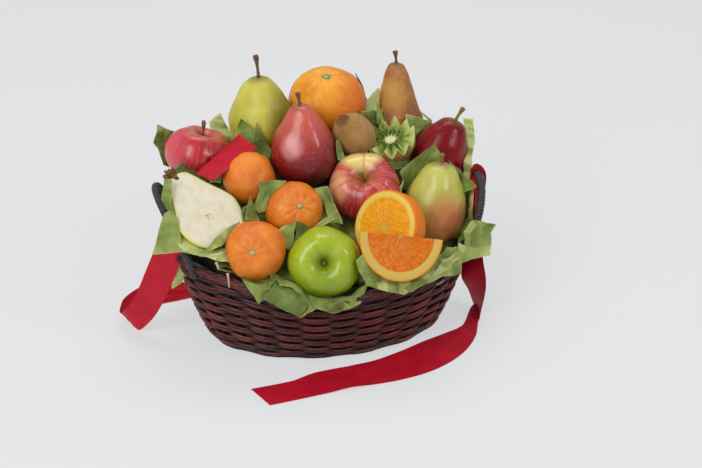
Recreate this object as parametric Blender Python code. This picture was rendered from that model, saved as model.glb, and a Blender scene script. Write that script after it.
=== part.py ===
"""Fruit gift basket: an oval wicker basket with two rope handles, filled with
crumpled tissue, whole fruit, cut fruit and a wide ribbon.

Metres, +Z up.  The origin is the centre of the basket's flat underside, +X runs
along the long side of the oval and -Y is the front.
"""
import math

import bmesh
import bpy
from mathutils import Matrix, Vector
from mathutils.bvhtree import BVHTree

# ---------------------------------------------------------------- dimensions
MM = 0.001
GAP = 0.0003            # clearance kept between touching pieces

BASE_A, BASE_B = 0.130, 0.087      # half axes of the underside
RIM_A, RIM_B = 0.165, 0.121        # half axes of the outer edge of the rim
WALL_TOP = 0.0855                  # top of the woven wall
WALL_BULGE = 0.0015                # how far the wall stands out at mid height
WALL_T = 0.008                     # thickness of the woven wall
FLOOR_T = 0.008                    # thickness of the woven bottom
RIM_HALF_W, RIM_HALF_H = 0.0048, 0.0041
RIM_Z = WALL_TOP + GAP + RIM_HALF_H
ROPE_R = 0.0055                    # handle rope radius
HANDLE_FOOT_Y = 0.053              # feet of a handle, left and right of the axis
HANDLE_FOOT_X = 0.1452
HANDLE_LEFT = (0.175, 0.171)       # apex: distance out and height
HANDLE_RIGHT = (0.172, 0.158)
SEG_WALL = 48
SEG_RIM = 40

RIBBON_W = 0.038                   # ribbon width, 1.5 inch
RIBBON_T = 0.0010
TISSUE_T = 0.0016                  # thickness of a tissue fold in this model
SLICE_T = 0.0105                   # thickness of the half-moon orange slice
GROW = 0.0006                      # clearance cut round the fruit

MATERIALS = {
    "wicker": ((0.085, 0.020, 0.016), 0.38),
    "rope": ((0.055, 0.045, 0.045), 0.75),
    "tissue": ((0.20, 0.36, 0.085), 0.70),
    "ribbon": ((0.48, 0.010, 0.030), 0.55),
    "straw": ((0.70, 0.55, 0.40), 0.70),
    "mandarin": ((0.85, 0.23, 0.03), 0.42),
    "green_apple": ((0.36, 0.52, 0.03), 0.25),
    "orange": ((0.86, 0.32, 0.02), 0.45),
    "orange_flesh": ((0.86, 0.36, 0.04), 0.30),
    "pear_flesh": ((0.78, 0.73, 0.52), 0.45),
    "blush_pear": ((0.55, 0.50, 0.10), 0.35),
    "red_apple": ((0.56, 0.05, 0.05), 0.25),
    "red_pear": ((0.38, 0.01, 0.02), 0.30),
    "kiwi": ((0.22, 0.14, 0.05), 0.80),
    "kiwi_flesh": ((0.34, 0.48, 0.06), 0.30),
    "dark_pear": ((0.16, 0.012, 0.025), 0.30),
    "green_pear": ((0.50, 0.52, 0.07), 0.38),
    "bosc_pear": ((0.45, 0.25, 0.06), 0.60),
}


def material(key):
    name = "m_" + key
    found = bpy.data.materials.get(name)
    if found:
        return found
    colour, rough = MATERIALS[key]
    mat = bpy.data.materials.new(name)
    mat.use_nodes = True
    bsdf = mat.node_tree.nodes["Principled BSDF"]
    bsdf.inputs["Base Color"].default_value = (*colour, 1.0)
    bsdf.inputs["Roughness"].default_value = rough
    bsdf.inputs["Metallic"].default_value = 0.0
    mat.diffuse_color = (*colour, 1.0)
    return mat


# ------------------------------------------------------------------- helpers
def add_object(name, verts, faces, key, smooth=True):
    mesh = bpy.data.meshes.new(name)
    mesh.from_pydata([tuple(v) for v in verts], [], faces)
    bm = bmesh.new()
    bm.from_mesh(mesh)
    bmesh.ops.recalc_face_normals(bm, faces=bm.faces[:])
    if bm.calc_volume(signed=True) < 0.0:
        bmesh.ops.reverse_faces(bm, faces=bm.faces[:])
    bm.to_mesh(mesh)
    bm.free()
    mesh.materials.append(material(key))
    if smooth:
        mesh.shade_smooth()
        mesh.set_sharp_from_angle(angle=math.radians(38))
    obj = bpy.data.objects.new(name, mesh)
    bpy.context.scene.collection.objects.link(obj)
    return obj


def discard(obj):
    mesh = obj.data
    bpy.data.objects.remove(obj, do_unlink=True)
    if mesh.users == 0:
        bpy.data.meshes.remove(mesh)


def box_of(obj):
    pts = [v.co for v in obj.data.vertices]
    return ([min(p[i] for p in pts) for i in range(3)], [max(p[i] for p in pts) for i in range(3)])


def tree_of(obj):
    bm = bmesh.new()
    bm.from_mesh(obj.data)
    tree = BVHTree.FromBMesh(bm)
    bm.free()
    return tree


def grown(obj, distance):
    """A copy of obj whose surface stands distance further out."""
    mesh = obj.data.copy()
    bm = bmesh.new()
    bm.from_mesh(mesh)
    bm.normal_update()
    shift = [v.normal * distance for v in bm.verts]
    for v, d in zip(bm.verts, shift):
        v.co += d
    bm.to_mesh(mesh)
    bm.free()
    copy = bpy.data.objects.new(obj.name + "_tool", mesh)
    bpy.context.scene.collection.objects.link(copy)
    return copy


def boolean(target, tools, operation):
    if not tools:
        return
    for tool in tools:
        mod = target.modifiers.new("bool", "BOOLEAN")
        mod.operation = operation
        mod.solver = "EXACT"
        mod.object = tool
    bpy.context.view_layer.update()
    graph = bpy.context.evaluated_depsgraph_get()
    mesh = bpy.data.meshes.new_from_object(target.evaluated_get(graph))
    target.modifiers.clear()
    old = target.data
    mesh.name = target.name
    target.data = mesh
    if old.users == 0:
        bpy.data.meshes.remove(old)


def keep_largest(obj):
    """Only the biggest body is kept, with slivers dissolved."""
    bm = bmesh.new()
    bm.from_mesh(obj.data)
    bmesh.ops.remove_doubles(bm, verts=bm.verts[:], dist=2e-6)
    bmesh.ops.dissolve_degenerate(bm, edges=bm.edges[:], dist=1e-6)
    left = set(bm.faces)
    bodies = []
    while left:
        seed = left.pop()
        body, queue = {seed}, [seed]
        while queue:
            face = queue.pop()
            for edge in face.edges:
                for other in edge.link_faces:
                    if other in left:
                        left.discard(other)
                        body.add(other)
                        queue.append(other)
        centre = Vector((0, 0, 0))
        volume = 0.0
        for face in body:
            vs = [loop.vert.co for loop in face.loops]
            for i in range(1, len(vs) - 1):
                volume += (vs[0] - centre).dot((vs[i] - centre).cross(vs[i + 1] - centre)) / 6.0
        bodies.append((abs(volume), body))
    bodies.sort(key=lambda item: item[0], reverse=True)
    drop = [f for _, body in bodies[1:] for f in body]
    if drop:
        bmesh.ops.delete(bm, geom=drop, context="FACES")
        loose = [v for v in bm.verts if not v.link_faces]
        bmesh.ops.delete(bm, geom=loose, context="VERTS")
    bmesh.ops.triangulate(bm, faces=bm.faces[:])
    bm.to_mesh(obj.data)
    bm.free()


def cut(obj, others, distance):
    """Takes every neighbour, grown by distance, out of obj."""
    touched = False
    for other in others:
        tool = grown(other, distance)
        if tree_of(obj).overlap(tree_of(tool)):
            boolean(obj, [tool], "DIFFERENCE")
            keep_largest(obj)
            touched = True
        discard(tool)
    return touched


def loft(rings, closed=False, caps=True):
    """Vertices and faces of a skin over rings with equal counts."""
    n = len(rings[0])
    verts = [p for ring in rings for p in ring]
    faces = []
    rows = len(rings)
    for r in range(rows if closed else rows - 1):
        a, b = r * n, ((r + 1) % rows) * n
        for i in range(n):
            j = (i + 1) % n
            faces.append((a + i, a + j, b + j, b + i))
    if caps and not closed:
        faces.append(tuple(range(n - 1, -1, -1)))
        faces.append(tuple((rows - 1) * n + i for i in range(n)))
    return verts, faces


def oval(a, b, z, n):
    return [(a * math.cos(2 * math.pi * i / n), b * math.sin(2 * math.pi * i / n), z) for i in range(n)]


def frame_for(axis, roll=0.0):
    """Rotation that turns local +Z to axis, with a roll about it."""
    z = Vector(axis).normalized()
    q = Vector((0, 0, 1)).rotation_difference(z)
    return q.to_matrix() @ Matrix.Rotation(roll, 3, "Z")


def smooth_step(a, b, x):
    t = max(0.0, min(1.0, (x - a) / (b - a)))
    return t * t * (3 - 2 * t)


def catmull(points, per):
    """Points on a smooth curve through the stations, per steps a span."""
    out = []
    n = len(points)
    for i in range(n - 1):
        p0 = points[max(i - 1, 0)]
        p1, p2 = points[i], points[i + 1]
        p3 = points[min(i + 2, n - 1)]
        for k in range(per):
            t = k / per
            out.append([0.5 * (2 * p1[c] + (p2[c] - p0[c]) * t
                               + (2 * p0[c] - 5 * p1[c] + 4 * p2[c] - p3[c]) * t * t
                               + (3 * p1[c] - p0[c] - 3 * p2[c] + p3[c]) * t ** 3) for c in range(len(p1))])
    out.append(list(points[-1]))
    return out


# -------------------------------------------------------------------- basket
def wall_axes(z):
    """Half axes of the wall's outer face at height z."""
    u = z / (RIM_Z + RIM_HALF_H)
    bulge = WALL_BULGE * math.sin(math.pi * min(u, 1.0))
    return BASE_A + (RIM_A - BASE_A) * u + bulge, BASE_B + (RIM_B - BASE_B) * u + bulge


def build_basket():
    heights = [0.0, 0.045, WALL_TOP]
    rings = []
    for z in heights:
        a, b = wall_axes(z)
        rings.append(oval(a - 0.0008, b - 0.0008, z, SEG_WALL))
    for z in reversed(heights):
        a, b = wall_axes(z)
        rings.append(oval(a - WALL_T, b - WALL_T, z, SEG_WALL))
    wall = add_object("basket_wall", *loft(rings, closed=True), "wicker")

    a, b = BASE_A - WALL_T - GAP * 1.6, BASE_B - WALL_T - GAP * 1.6
    floor = add_object("basket_floor", *loft([oval(a, b, 0.0, SEG_WALL), oval(a, b, FLOOR_T, SEG_WALL)]), "wicker")

    a, b = RIM_A - RIM_HALF_W, RIM_B - RIM_HALF_W
    rings = []
    sides = 6
    for i in range(SEG_RIM):
        t = 2 * math.pi * i / SEG_RIM
        c = Vector((a * math.cos(t), b * math.sin(t), RIM_Z))
        out = Vector((math.cos(t) / a, math.sin(t) / b, 0)).normalized()
        ring = []
        for k in range(sides):
            w = 2 * math.pi * k / sides
            ring.append(c + out * RIM_HALF_W * math.cos(w)
                        + Vector((0, 0, 1)) * RIM_HALF_H * math.sin(w) / math.cos(math.pi / sides))
        rings.append(ring)
    rim = add_object("basket_rim", *loft(rings, closed=True), "wicker")
    return wall, floor, rim


def tube(points, radii, sides):
    """Rings square to a path, for a closed tube with flat ends."""
    rings = []
    normal = None
    n = len(points)
    for i, p in enumerate(points):
        p = Vector(p)
        tangent = (Vector(points[min(i + 1, n - 1)]) - Vector(points[max(i - 1, 0)])).normalized()
        if normal is None:
            ref = Vector((1, 0, 0)) if abs(tangent.x) < 0.8 else Vector((0, 1, 0))
            normal = (ref - tangent * ref.dot(tangent)).normalized()
        else:
            normal = (normal - tangent * normal.dot(tangent)).normalized()
        side = tangent.cross(normal)
        r = radii[i] if isinstance(radii, (list, tuple)) else radii
        rings.append([p + normal * r * math.cos(2 * math.pi * k / sides)
                      + side * r * math.sin(2 * math.pi * k / sides) for k in range(sides)])
    return rings


def handle_point(sign, apex, angle):
    """Centre line of a handle: angle 0 at the front foot, pi at the back foot."""
    out, high = apex
    foot_z = RIM_Z + RIM_HALF_H + GAP
    return (sign * (HANDLE_FOOT_X + (out - HANDLE_FOOT_X) * math.sin(angle) ** 1.1),
            -HANDLE_FOOT_Y * math.cos(angle),
            foot_z + (high - foot_z) * math.sin(angle) ** 0.9)


def build_handle(name, sign, apex):
    n = 16
    pts = [handle_point(sign, apex, math.pi * i / n) for i in range(n + 1)]
    rings = tube(pts, ROPE_R, 8)
    # feet stand flat on the rim
    for ring in (rings[0], rings[-1]):
        for p in ring:
            p.z = RIM_Z + RIM_HALF_H + GAP * 1.3
    return add_object(name, *loft(rings), "rope")


# --------------------------------------------------------------------- fruit
def revolve(profile, sides, lobes=(0.0, 5, 0.0)):
    """Closed body turned about +Z; profile runs from the top pole to the bottom pole."""
    amount, count, phase = lobes
    verts = [Vector((0, 0, profile[0][1]))]
    for r, z in profile[1:-1]:
        for k in range(sides):
            t = 2 * math.pi * k / sides
            f = 1 + amount * math.cos(count * t + phase)
            verts.append(Vector((r * f * math.cos(t), r * f * math.sin(t), z)))
    verts.append(Vector((0, 0, profile[-1][1])))
    faces = []
    rows = len(profile) - 2
    for k in range(sides):
        faces.append((0, 1 + k, 1 + (k + 1) % sides))
    for r in range(rows - 1):
        a, b = 1 + r * sides, 1 + (r + 1) * sides
        for k in range(sides):
            j = (k + 1) % sides
            faces.append((a + k, b + k, b + j, a + j))
    last = len(verts) - 1
    a = 1 + (rows - 1) * sides
    for k in range(sides):
        faces.append((last, a + (k + 1) % sides, a + k))
    return verts, faces


def apple_profile(radius, rows=9):
    out = []
    for i in range(rows + 1):
        u = i / rows
        phi = math.pi * (u + 0.06 * math.sin(2 * math.pi * u) * -1)
        rho = radius * (1 - 0.40 * math.exp(-(phi / 0.42) ** 2) - 0.20 * math.exp(-((math.pi - phi) / 0.36) ** 2))
        out.append((rho * math.sin(phi) * (1 + 0.05 * math.cos(phi)) / 1.002, rho * math.cos(phi) * 0.93))
    return out


def citrus_profile(radius, flat=0.90, rows=8):
    out = []
    for i in range(rows + 1):
        phi = math.pi * i / rows
        dimple = 1 - 0.09 * math.exp(-(phi / 0.32) ** 2) - 0.04 * math.exp(-((math.pi - phi) / 0.30) ** 2)
        out.append((radius * math.sin(phi), radius * flat * math.cos(phi) * dimple))
    return out


def pear_profile(radius, top, neck, start=0.42):
    """Widest at z = 0, bottom at -0.93 radius, neck top at z = top; start sets where
    the neck begins, as a share of the height above the widest part."""
    low = 0.93 * radius
    thin = neck * radius
    mid = (0.95 * radius + thin) / 2
    return [(0.0, top - 0.0012),
            (0.62 * thin, top - 0.02 * radius),
            (thin * 0.98, top - 0.28 * thin - 0.05 * radius),
            (thin * 1.10, (start + 0.46) * top * 0.90),
            (mid, (start + 0.14) * top),
            (0.93 * radius, 0.52 * start * top + 0.06 * radius),
            (radius, -0.02 * radius),
            (0.91 * radius, -0.48 * low),
            (0.66 * radius, -0.83 * low),
            (0.30 * radius, -low),
            (0.0, -low + 0.09 * radius)]


def kiwi_profile(radius, half_length, rows=8):
    return [(radius * math.sin(math.pi * i / rows) ** 0.92 if 0 < i < rows else 0.0,
             half_length * math.cos(math.pi * i / rows)) for i in range(rows + 1)]


def place(verts, centre, axis, roll):
    rot = frame_for(axis, roll)
    c = Vector(centre)
    return [c + rot @ v for v in verts]


def stem(base, axis, bend, length, radius, sides=6):
    """A short woody stem that leaves base along axis and leans to bend."""
    axis = Vector(axis).normalized()
    bend = Vector(bend)
    pts, radii = [], []
    for i in range(4):
        t = i / 3
        pts.append(Vector(base) + axis * length * t + bend * length * t * t)
        radii.append(radius * (1.0 - 0.25 * math.sin(math.pi * t) + 0.25 * t))
    return loft(tube(pts, radii, sides))


def slice_body(verts, faces, planes):
    """Cuts a closed body with planes (point, normal) and drops what is in front of each."""
    mesh = bpy.data.meshes.new("cut")
    mesh.from_pydata([tuple(v) for v in verts], [], faces)
    bm = bmesh.new()
    bm.from_mesh(mesh)
    for point, normal in planes:
        geom = bm.verts[:] + bm.edges[:] + bm.faces[:]
        res = bmesh.ops.bisect_plane(bm, geom=geom, dist=1e-6, plane_co=point, plane_no=normal,
                                     clear_outer=True, clear_inner=False)
        rim = [g for g in res["geom_cut"] if isinstance(g, bmesh.types.BMEdge) and g.is_boundary]
        bmesh.ops.contextual_create(bm, geom=rim)
    bmesh.ops.remove_doubles(bm, verts=bm.verts[:], dist=5e-6)
    out_v = [v.co.copy() for v in bm.verts]
    bm.verts.index_update()
    out_f = [tuple(v.index for v in f.verts) for f in bm.faces]
    bm.free()
    bpy.data.meshes.remove(mesh)
    return out_v, out_f


# centre (mm), greatest radius (mm), stem axis, roll
WHOLE = {
    "mandarin_front": ("citrus", "mandarin", (-84, -70, 128), 30.3, (-0.26, -0.89, 0.37), 0.3),
    "mandarin_mid": ("citrus", "mandarin", (-37, -28, 154), 29.9, (0.08, -0.92, 0.38), 0.9),
    "mandarin_plain": ("citrus", "mandarin", (-77, 11, 170), 28.2, (-0.39, 0.59, -0.71), 0.0),
    "orange_top": ("orange", "orange", (24, 95, 211), 41.5, (-0.06, -0.27, 0.96), 0.2),
    "apple_green": ("apple", "green_apple", (-14, -78, 110), 36.7, (-0.18, -0.85, 0.49), 0.4),
    "apple_blush": ("apple", "red_apple", (42.2, -2.6, 154.4), 35.9, (-0.15, -0.58, 0.79), 1.1),
    "apple_red": ("apple", "red_apple", (-126, 47, 190), 34.2, (0.19, -0.09, 0.98), 0.7),
    "pear_blush": ("pear", "blush_pear", (117, -17, 119), 32.6, (0.16, 0.16, 1.0), 0.0),
    "pear_red": ("pear", "red_pear", (-16, 25, 184), 33.8, (-0.05, 0.12, 1.0), 0.5),
    "pear_dark": ("pear", "dark_pear", (135, 42, 166), 30.5, (0.54, 0.01, 0.88), 0.0),
    "pear_green": ("pear", "green_pear", (-51.8, 82, 201.6), 35.1, (0.03, 0.03, 1.0), 0.0),
    "pear_bosc": ("pear", "bosc_pear", (106, 91, 189), 29.9, (-0.08, 0.06, 1.0), 0.0),
    "kiwi_whole": ("kiwi", "kiwi", (40, 34, 199), 21.3, (-0.54, -0.23, 0.81), 0.0),
}
# neck top above the centre (mm), neck share, where the neck starts
PEAR = {
    "pear_blush": (57, 0.40, 0.44),
    "pear_red": (57, 0.40, 0.46),
    "pear_dark": (42, 0.50, 0.46),
    "pear_green": (55, 0.38, 0.42),
    "pear_bosc": (64, 0.28, 0.36),
}
# stem: length (mm), radius (mm), lean
STEM = {
    "apple_blush": (15, 1.2, (-0.10, 0.10, 0.10)),
    "apple_red": (13, 1.2, (0.05, 0.05, 0.10)),
    "pear_blush": (11, 1.7, (-0.15, 0.0, 0.1)),
    "pear_red": (13, 1.5, (-0.45, 0.0, 0.0)),
    "pear_dark": (14, 1.6, (0.10, 0.0, 0.25)),
    "pear_green": (24, 1.5, (-0.42, 0.0, 0.0)),
    "pear_bosc": (14, 1.6, (-0.20, 0.0, 0.0)),
}


def build_whole(name):
    kind, key, centre, radius, axis, roll = WHOLE[name]
    centre = [c * MM for c in centre]
    r = radius * MM
    top = 0.0
    if kind == "citrus":
        verts, faces = revolve(citrus_profile(r, 0.90), 16, (0.010, 3, roll))
    elif kind == "orange":
        verts, faces = revolve(citrus_profile(r, 0.97, 9), 18, (0.008, 3, roll))
    elif kind == "apple":
        verts, faces = revolve(apple_profile(r), 18, (0.016, 5, roll))
        top = r * 0.50
    elif kind == "pear":
        high, neck, start = PEAR[name]
        verts, faces = revolve(pear_profile(r, high * MM, neck, start), 16, (0.010, 2, roll))
        top = high * MM - 0.003
    else:
        verts, faces = revolve(kiwi_profile(r, 26.5 * MM), 14, (0.0, 2, 0))
    fruit = add_object(name, place(verts, centre, axis, roll), faces, key)
    if name in STEM:
        length, rad, lean = STEM[name]
        direction = Vector(axis).normalized()
        piece = add_object(name + "_stem", *stem(Vector(centre) + direction * top, direction, lean,
                                                 length * MM + 0.003, rad * MM), key)
        boolean(fruit, [piece], "UNION")
        discard(piece)
        keep_largest(fruit)
    return fruit


def build_cut_fruit():
    made = []
    # half pear: the cut face looks forward and up, the neck leans to the left
    centre = Vector((-0.125, -0.036, 0.158))
    face = Vector((0.088, -0.787, 0.611)).normalized()
    axis = Vector((-0.437, 0.494, 0.754))
    axis = (axis - face * axis.dot(face)).normalized()
    r = 0.0315
    verts, faces = revolve(pear_profile(r, 0.052, 0.46, 0.46), 20)
    verts = place(verts, centre, axis, 0.0)
    verts, faces = slice_body(verts, faces, [(centre, face)])
    half = add_object("pear_half", verts, faces, "pear_flesh")
    tip = centre + axis * 0.048 - face * 0.0035
    piece = add_object("pear_half_stem", *stem(tip, axis, (-0.35, 0.0, 0.0), 0.018, 0.0022), "pear_flesh")
    boolean(half, [piece], "UNION")
    discard(piece)
    keep_largest(half)
    made.append(half)

    # half orange, cut face to the front left and up
    centre = Vector((0.050, -0.073, 0.145))
    face = Vector((-0.69, -0.56, 0.47)).normalized()
    verts, faces = revolve([(0.035 * math.sin(math.pi * i / 12), 0.035 * math.cos(math.pi * i / 12))
                            for i in range(13)], 24)
    verts = place(verts, centre, face, 0.0)
    verts, faces = slice_body(verts, faces, [(centre, face)])
    made.append(add_object("orange_half", verts, faces, "orange_flesh"))

    # half-moon slice: flat front, straight edge on top
    centre = Vector((0.0584, -0.1072, 0.1484))
    face = Vector((-0.178, -0.855, 0.487)).normalized()
    across = Vector((0.962, -0.256, -0.096))
    across = (across - face * across.dot(face)).normalized()
    up = face.cross(across)
    if up.z < 0:
        up = -up
    verts, faces = revolve([(0.0416 * math.sin(math.pi * i / 14), 0.0416 * math.cos(math.pi * i / 14))
                            for i in range(15)], 26)
    verts = place(verts, centre, face, 0.0)
    verts, faces = slice_body(verts, faces, [(centre, face), (centre - face * SLICE_T, -face), (centre, up)])
    made.append(add_object("orange_slice", verts, faces, "orange_flesh"))

    # kiwi with a star cut
    centre = Vector((0.0847, 0.0352, 0.1910))
    face = Vector((-0.235, -0.628, 0.742)).normalized()
    r, long_half, spikes = 0.0222, 0.025, 10
    sides = spikes * 2
    rows = 5
    verts = []
    for row in range(rows):
        phi = math.pi / 2 * (1 + row / rows)           # from the cut to the far pole
        for k in range(sides):
            t = 2 * math.pi * k / sides
            z = long_half * math.cos(phi)
            if row == 0:
                z = 0.0034 * (1 if k % 2 else -1)
            elif row == 1:
                z += 0.0008 * (1 if k % 2 else -1)
            rad = r * math.sqrt(max(0.0, 1 - (z / long_half) ** 2))
            verts.append(Vector((rad * math.cos(t), rad * math.sin(t), z)))
    verts.append(Vector((0, 0, -long_half)))
    verts.append(Vector((0, 0, 0.0006)))
    pole, heart = len(verts) - 2, len(verts) - 1
    faces = []
    for row in range(rows - 1):
        for k in range(sides):
            j = (k + 1) % sides
            a, b = row * sides, (row + 1) * sides
            faces.append((a + k, b + k, b + j, a + j))
    for k in range(sides):
        j = (k + 1) % sides
        faces.append(((rows - 1) * sides + k, pole, (rows - 1) * sides + j))
        faces.append((j, heart, k))
    made.append(add_object("kiwi_cut", place(verts, centre, face, 0.2), faces, "kiwi_flesh"))
    return made


# ------------------------------------------------------------------- ribbons
# centre (mm), direction across the ribbon, share of the full width that shows
RIBBON_RIGHT = [
    ((180.5, 2, 153), (0.28, 0.96, 0.0), 0.55),
    ((179, 2, 161), (0.28, 0.96, 0.0), 0.55),
    ((172, 2, 166.5), (0.28, 0.96, 0.0), 0.55),
    ((165, 3, 161), (0.32, 0.95, 0.0), 0.55),
    ((163.5, 4, 148), (0.45, 0.89, 0.0), 0.62),
    ((165, 6, 127), (0.60, 0.80, 0.0), 0.95),
    ((169, 4, 111), (0.62, 0.78, 0.0), 1.0),
    ((176.5, 2, 99), (0.64, 0.77, 0.0), 1.0),
    ((178.5, 0, 88), (0.66, 0.75, 0.0), 1.0),
    ((174, -2, 73), (0.68, 0.73, 0.0), 1.0),
    ((169, -5, 56), (0.70, 0.70, -0.05), 1.0),
    ((170, -15, 31), (0.55, 0.80, -0.24), 1.0),
    ((164, -38, 11), (0.10, 0.87, -0.48), 1.0),
    ((147, -64, 5), (-0.60, 0.78, -0.17), 1.0),
    ((126, -84, 1.6), (-0.68, 0.73, 0.0), 1.0),
    ((100, -100, 1.2), (-0.53, 0.85, 0.0), 1.0),
    ((72, -112, 1.2), (-0.38, 0.92, 0.0), 1.0),
    ((40, -121, 1.2), (-0.20, 0.98, 0.0), 1.0),
    ((5, -124, 1.6), (-0.10, 0.99, 0.0), 1.0),
    ((-28, -132, 4.0), (0.12, 0.99, 0.08), 1.0),
    ((-62, -140, 2.6), (0.16, 0.98, 0.04), 1.0),
    ((-94, -143, 1.2), (-0.38, 0.92, 0.0), 1.0),
]
RIBBON_LEFT = [
    ((-156, -14, 121), (0.74, -0.60, 0.30), 1.0),
    ((-172, -12, 106), (0.74, -0.60, 0.30), 1.0),
    ((-181, -8, 88), (0.74, -0.60, 0.30), 1.0),
    ((-182, -3, 66), (0.80, -0.50, 0.33), 1.0),
    ((-191, 8, 40), (0.72, -0.65, 0.10), 1.0),
    ((-206, 25, 18.5), (0.30, -0.45, -0.84), 1.0),
    ((-216, 49, 19.6), (0.02, -0.27, -0.96), 1.0),
    ((-201, 72, 16.5), (0.10, -0.60, -0.79), 1.0),
    ((-170, 78, 10.5), (0.05, -0.88, -0.46), 1.0),
    ((-140, 80, 9.5), (0.0, -0.90, -0.43), 1.0),
    ((-108, 87, 5.5), (0.05, -0.97, -0.22), 1.0),
    ((-78, 98, 1.6), (0.42, -0.91, 0.0), 1.0),
]
RIBBON_INNER = [
    ((-123, 26, 190), (-0.30, -0.55, -0.78), 1.0),
    ((-106, 36, 196), (-0.35, -0.50, -0.79), 1.0),
    ((-88, 44, 202), (-0.40, -0.45, -0.80), 1.0),
    ((-74, 50, 208), (-0.42, -0.42, -0.80), 1.0),
]


def ribbon(name, stations, width, per):
    rows = [[*(c * MM for c in p), *w, share] for p, w, share in stations]
    path = catmull(rows, per)
    rings = []
    n = len(path)
    for i, s in enumerate(path):
        c = Vector(s[:3])
        ahead = Vector(path[min(i + 1, n - 1)][:3]) - Vector(path[max(i - 1, 0)][:3])
        tangent = ahead.normalized()
        w = Vector(s[3:6])
        w = (w - tangent * w.dot(tangent) * 0.9).normalized()
        normal = tangent.cross(w).normalized()
        h, t = width * s[6] / 2, RIBBON_T / 2
        rings.append([c - w * h - normal * t, c + w * h - normal * t,
                      c + w * h + normal * t, c - w * h + normal * t])
    obj = add_object(name, *loft(rings), "ribbon")
    floor = min(v.co.z for v in obj.data.vertices)
    for v in obj.data.vertices:
        if v.co.z < 0.0002:
            v.co.z = 0.0002 + (v.co.z - floor) * 0.02
    return obj


# -------------------------------------------------------------------- tissue
# spine (mm): root, middle control, tip; half width (mm) at the root; tip share; bulge (mm)
FLAPS = {
    "tissue_front_left": ((-78, -92, 100), (-84, -120, 114), (-78, -127, 72), (26, -8, 0), 0.55, 3),
    "tissue_front_mid": ((-21, -112, 97), (-20, -132, 99), (-22, -132, 70), (36, 2, 0), 0.65, 2),
    "tissue_front_right": ((48, -92, 103), (48, -124, 106), (48, -132, 80), (34, 3, -4), 0.70, 3),
    "tissue_corner_right": ((104, -56, 98), (116, -86, 108), (122, -92, 82), (26, 20, 4), 0.60, 3),
    "tissue_right": ((142, -28, 100), (163, -32, 106), (180, -36, 92), (-3, 8, 19), 0.95, 4),
    "tissue_blush_side": ((153, 16, 116), (160, 20, 140), (157, 26, 164), (11, -4, 0), 0.35, 3),
    "tissue_back_corner": ((166, 66, 120), (176, 70, 152), (178, 70, 190), (9, -5, 0), 0.30, 3),
    "tissue_under_kiwi": ((58, 20, 176), (78, 26, 182), (95, 16, 170), (-5, -9, 9), 0.55, 2),
    "tissue_bosc_front": ((102, 56, 178), (114, 60, 190), (131, 62, 199), (8, -3, -8), 0.40, 2),
    "tissue_orange_side": ((72, 74, 188), (73, 84, 220), (67, 94, 246), (11, 5, 0), 0.30, 3),
    "tissue_pear_front": ((-69, 44, 178), (-68, 42, 200), (-73, 46, 222), (17, -3, 0), 0.40, 3),
    "tissue_pale_back": ((-90, 76, 184), (-95, 80, 204), (-98, 84, 216), (11, 3, 0), 0.70, 2),
    "tissue_apple_back": ((-147, 64, 160), (-162, 66, 188), (-165, 66, 212), (8, 6, 0), 0.45, 2),
    "tissue_left": ((-147, 6, 160), (-164, -2, 148), (-167, -20, 110), (8, -6, 2), 2.1, 3),
    "tissue_left_front": ((-120, -66, 112), (-132, -76, 130), (-128, -90, 104), (30, -16, 0), 0.70, 3),
    "tissue_mandarin_gap": ((-62, -14, 148), (-66, -22, 164), (-57, -16, 182), (10, 3, 0), 0.45, 3),
    "tissue_curl": ((8, -34, 130), (13, -32, 150), (7, -24, 168), (7, -2, 0), 0.60, 3),
    "tissue_apple_gap": ((-43, -62, 116), (-46, -62, 132), (-45, -56, 146), (6, 0, 0), 0.60, 2),
    "tissue_fold_back": ((-122, 8, 166), (-136, 16, 184), (-149, 22, 190), (2, -5, 10), 0.60, 2),
    "tissue_scrap_left": ((-160, -20, 99), (-168, -24, 92), (-166, -18, 62), (5, -5, 0), 0.20, 1),
    "tissue_back_left": ((-70, 104, 132), (-86, 134, 138), (-84, 130, 78), (36, 18, 0), 0.55, 4),
    "tissue_back_mid": ((18, 126, 136), (20, 150, 138), (18, 141, 76), (40, 0, 0), 0.50, 4),
    "tissue_back_right": ((104, 104, 130), (116, 126, 134), (112, 112, 80), (30, -18, 0), 0.55, 4),
}


def flap(name):
    root, mid, tip, half, share, bulge = FLAPS[name]
    p0, p1, p2 = (Vector(p) * MM for p in (root, mid, tip))
    h = Vector(half) * MM
    nu, nv = 4, 3
    grid = []
    outward = -1.0 if h.cross((p2 - p0)).y > 0 else 1.0
    for i in range(nu + 1):
        u = i / nu
        c = p0 * (1 - u) ** 2 + p1 * 2 * u * (1 - u) + p2 * u * u
        d = (p1 - p0) * (1 - u) + (p2 - p1) * u
        n = h.cross(d).normalized() * outward
        width = 1 + (share - 1) * u
        row = []
        for j in range(nv + 1):
            v = 2 * j / nv - 1
            row.append((c + h * width * v + n * bulge * MM * (1 - v * v), n))
        grid.append(row)
    t = TISSUE_T / 2
    verts, faces = [], []
    for layer in (-1, 1):
        for row in grid:
            for p, n in row:
                verts.append(p + n * t * layer)
    w = nv + 1
    size = w * (nu + 1)
    for i in range(nu):
        for j in range(nv):
            a = i * w + j
            faces.append((a, a + 1, a + 1 + w, a + w))
            b = a + size
            faces.append((b, b + w, b + 1 + w, b + 1))
    border = [(i * w, (i + 1) * w) for i in range(nu)]
    border += [(nu * w + j, nu * w + j + 1) for j in range(nv)]
    border += [((i + 1) * w + nv, i * w + nv) for i in range(nu)]
    border += [(j + 1, j) for j in range(nv)]
    for a, b in border:
        faces.append((a, b, b + size, a + size))
    return add_object(name, verts, faces, "tissue")


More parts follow.
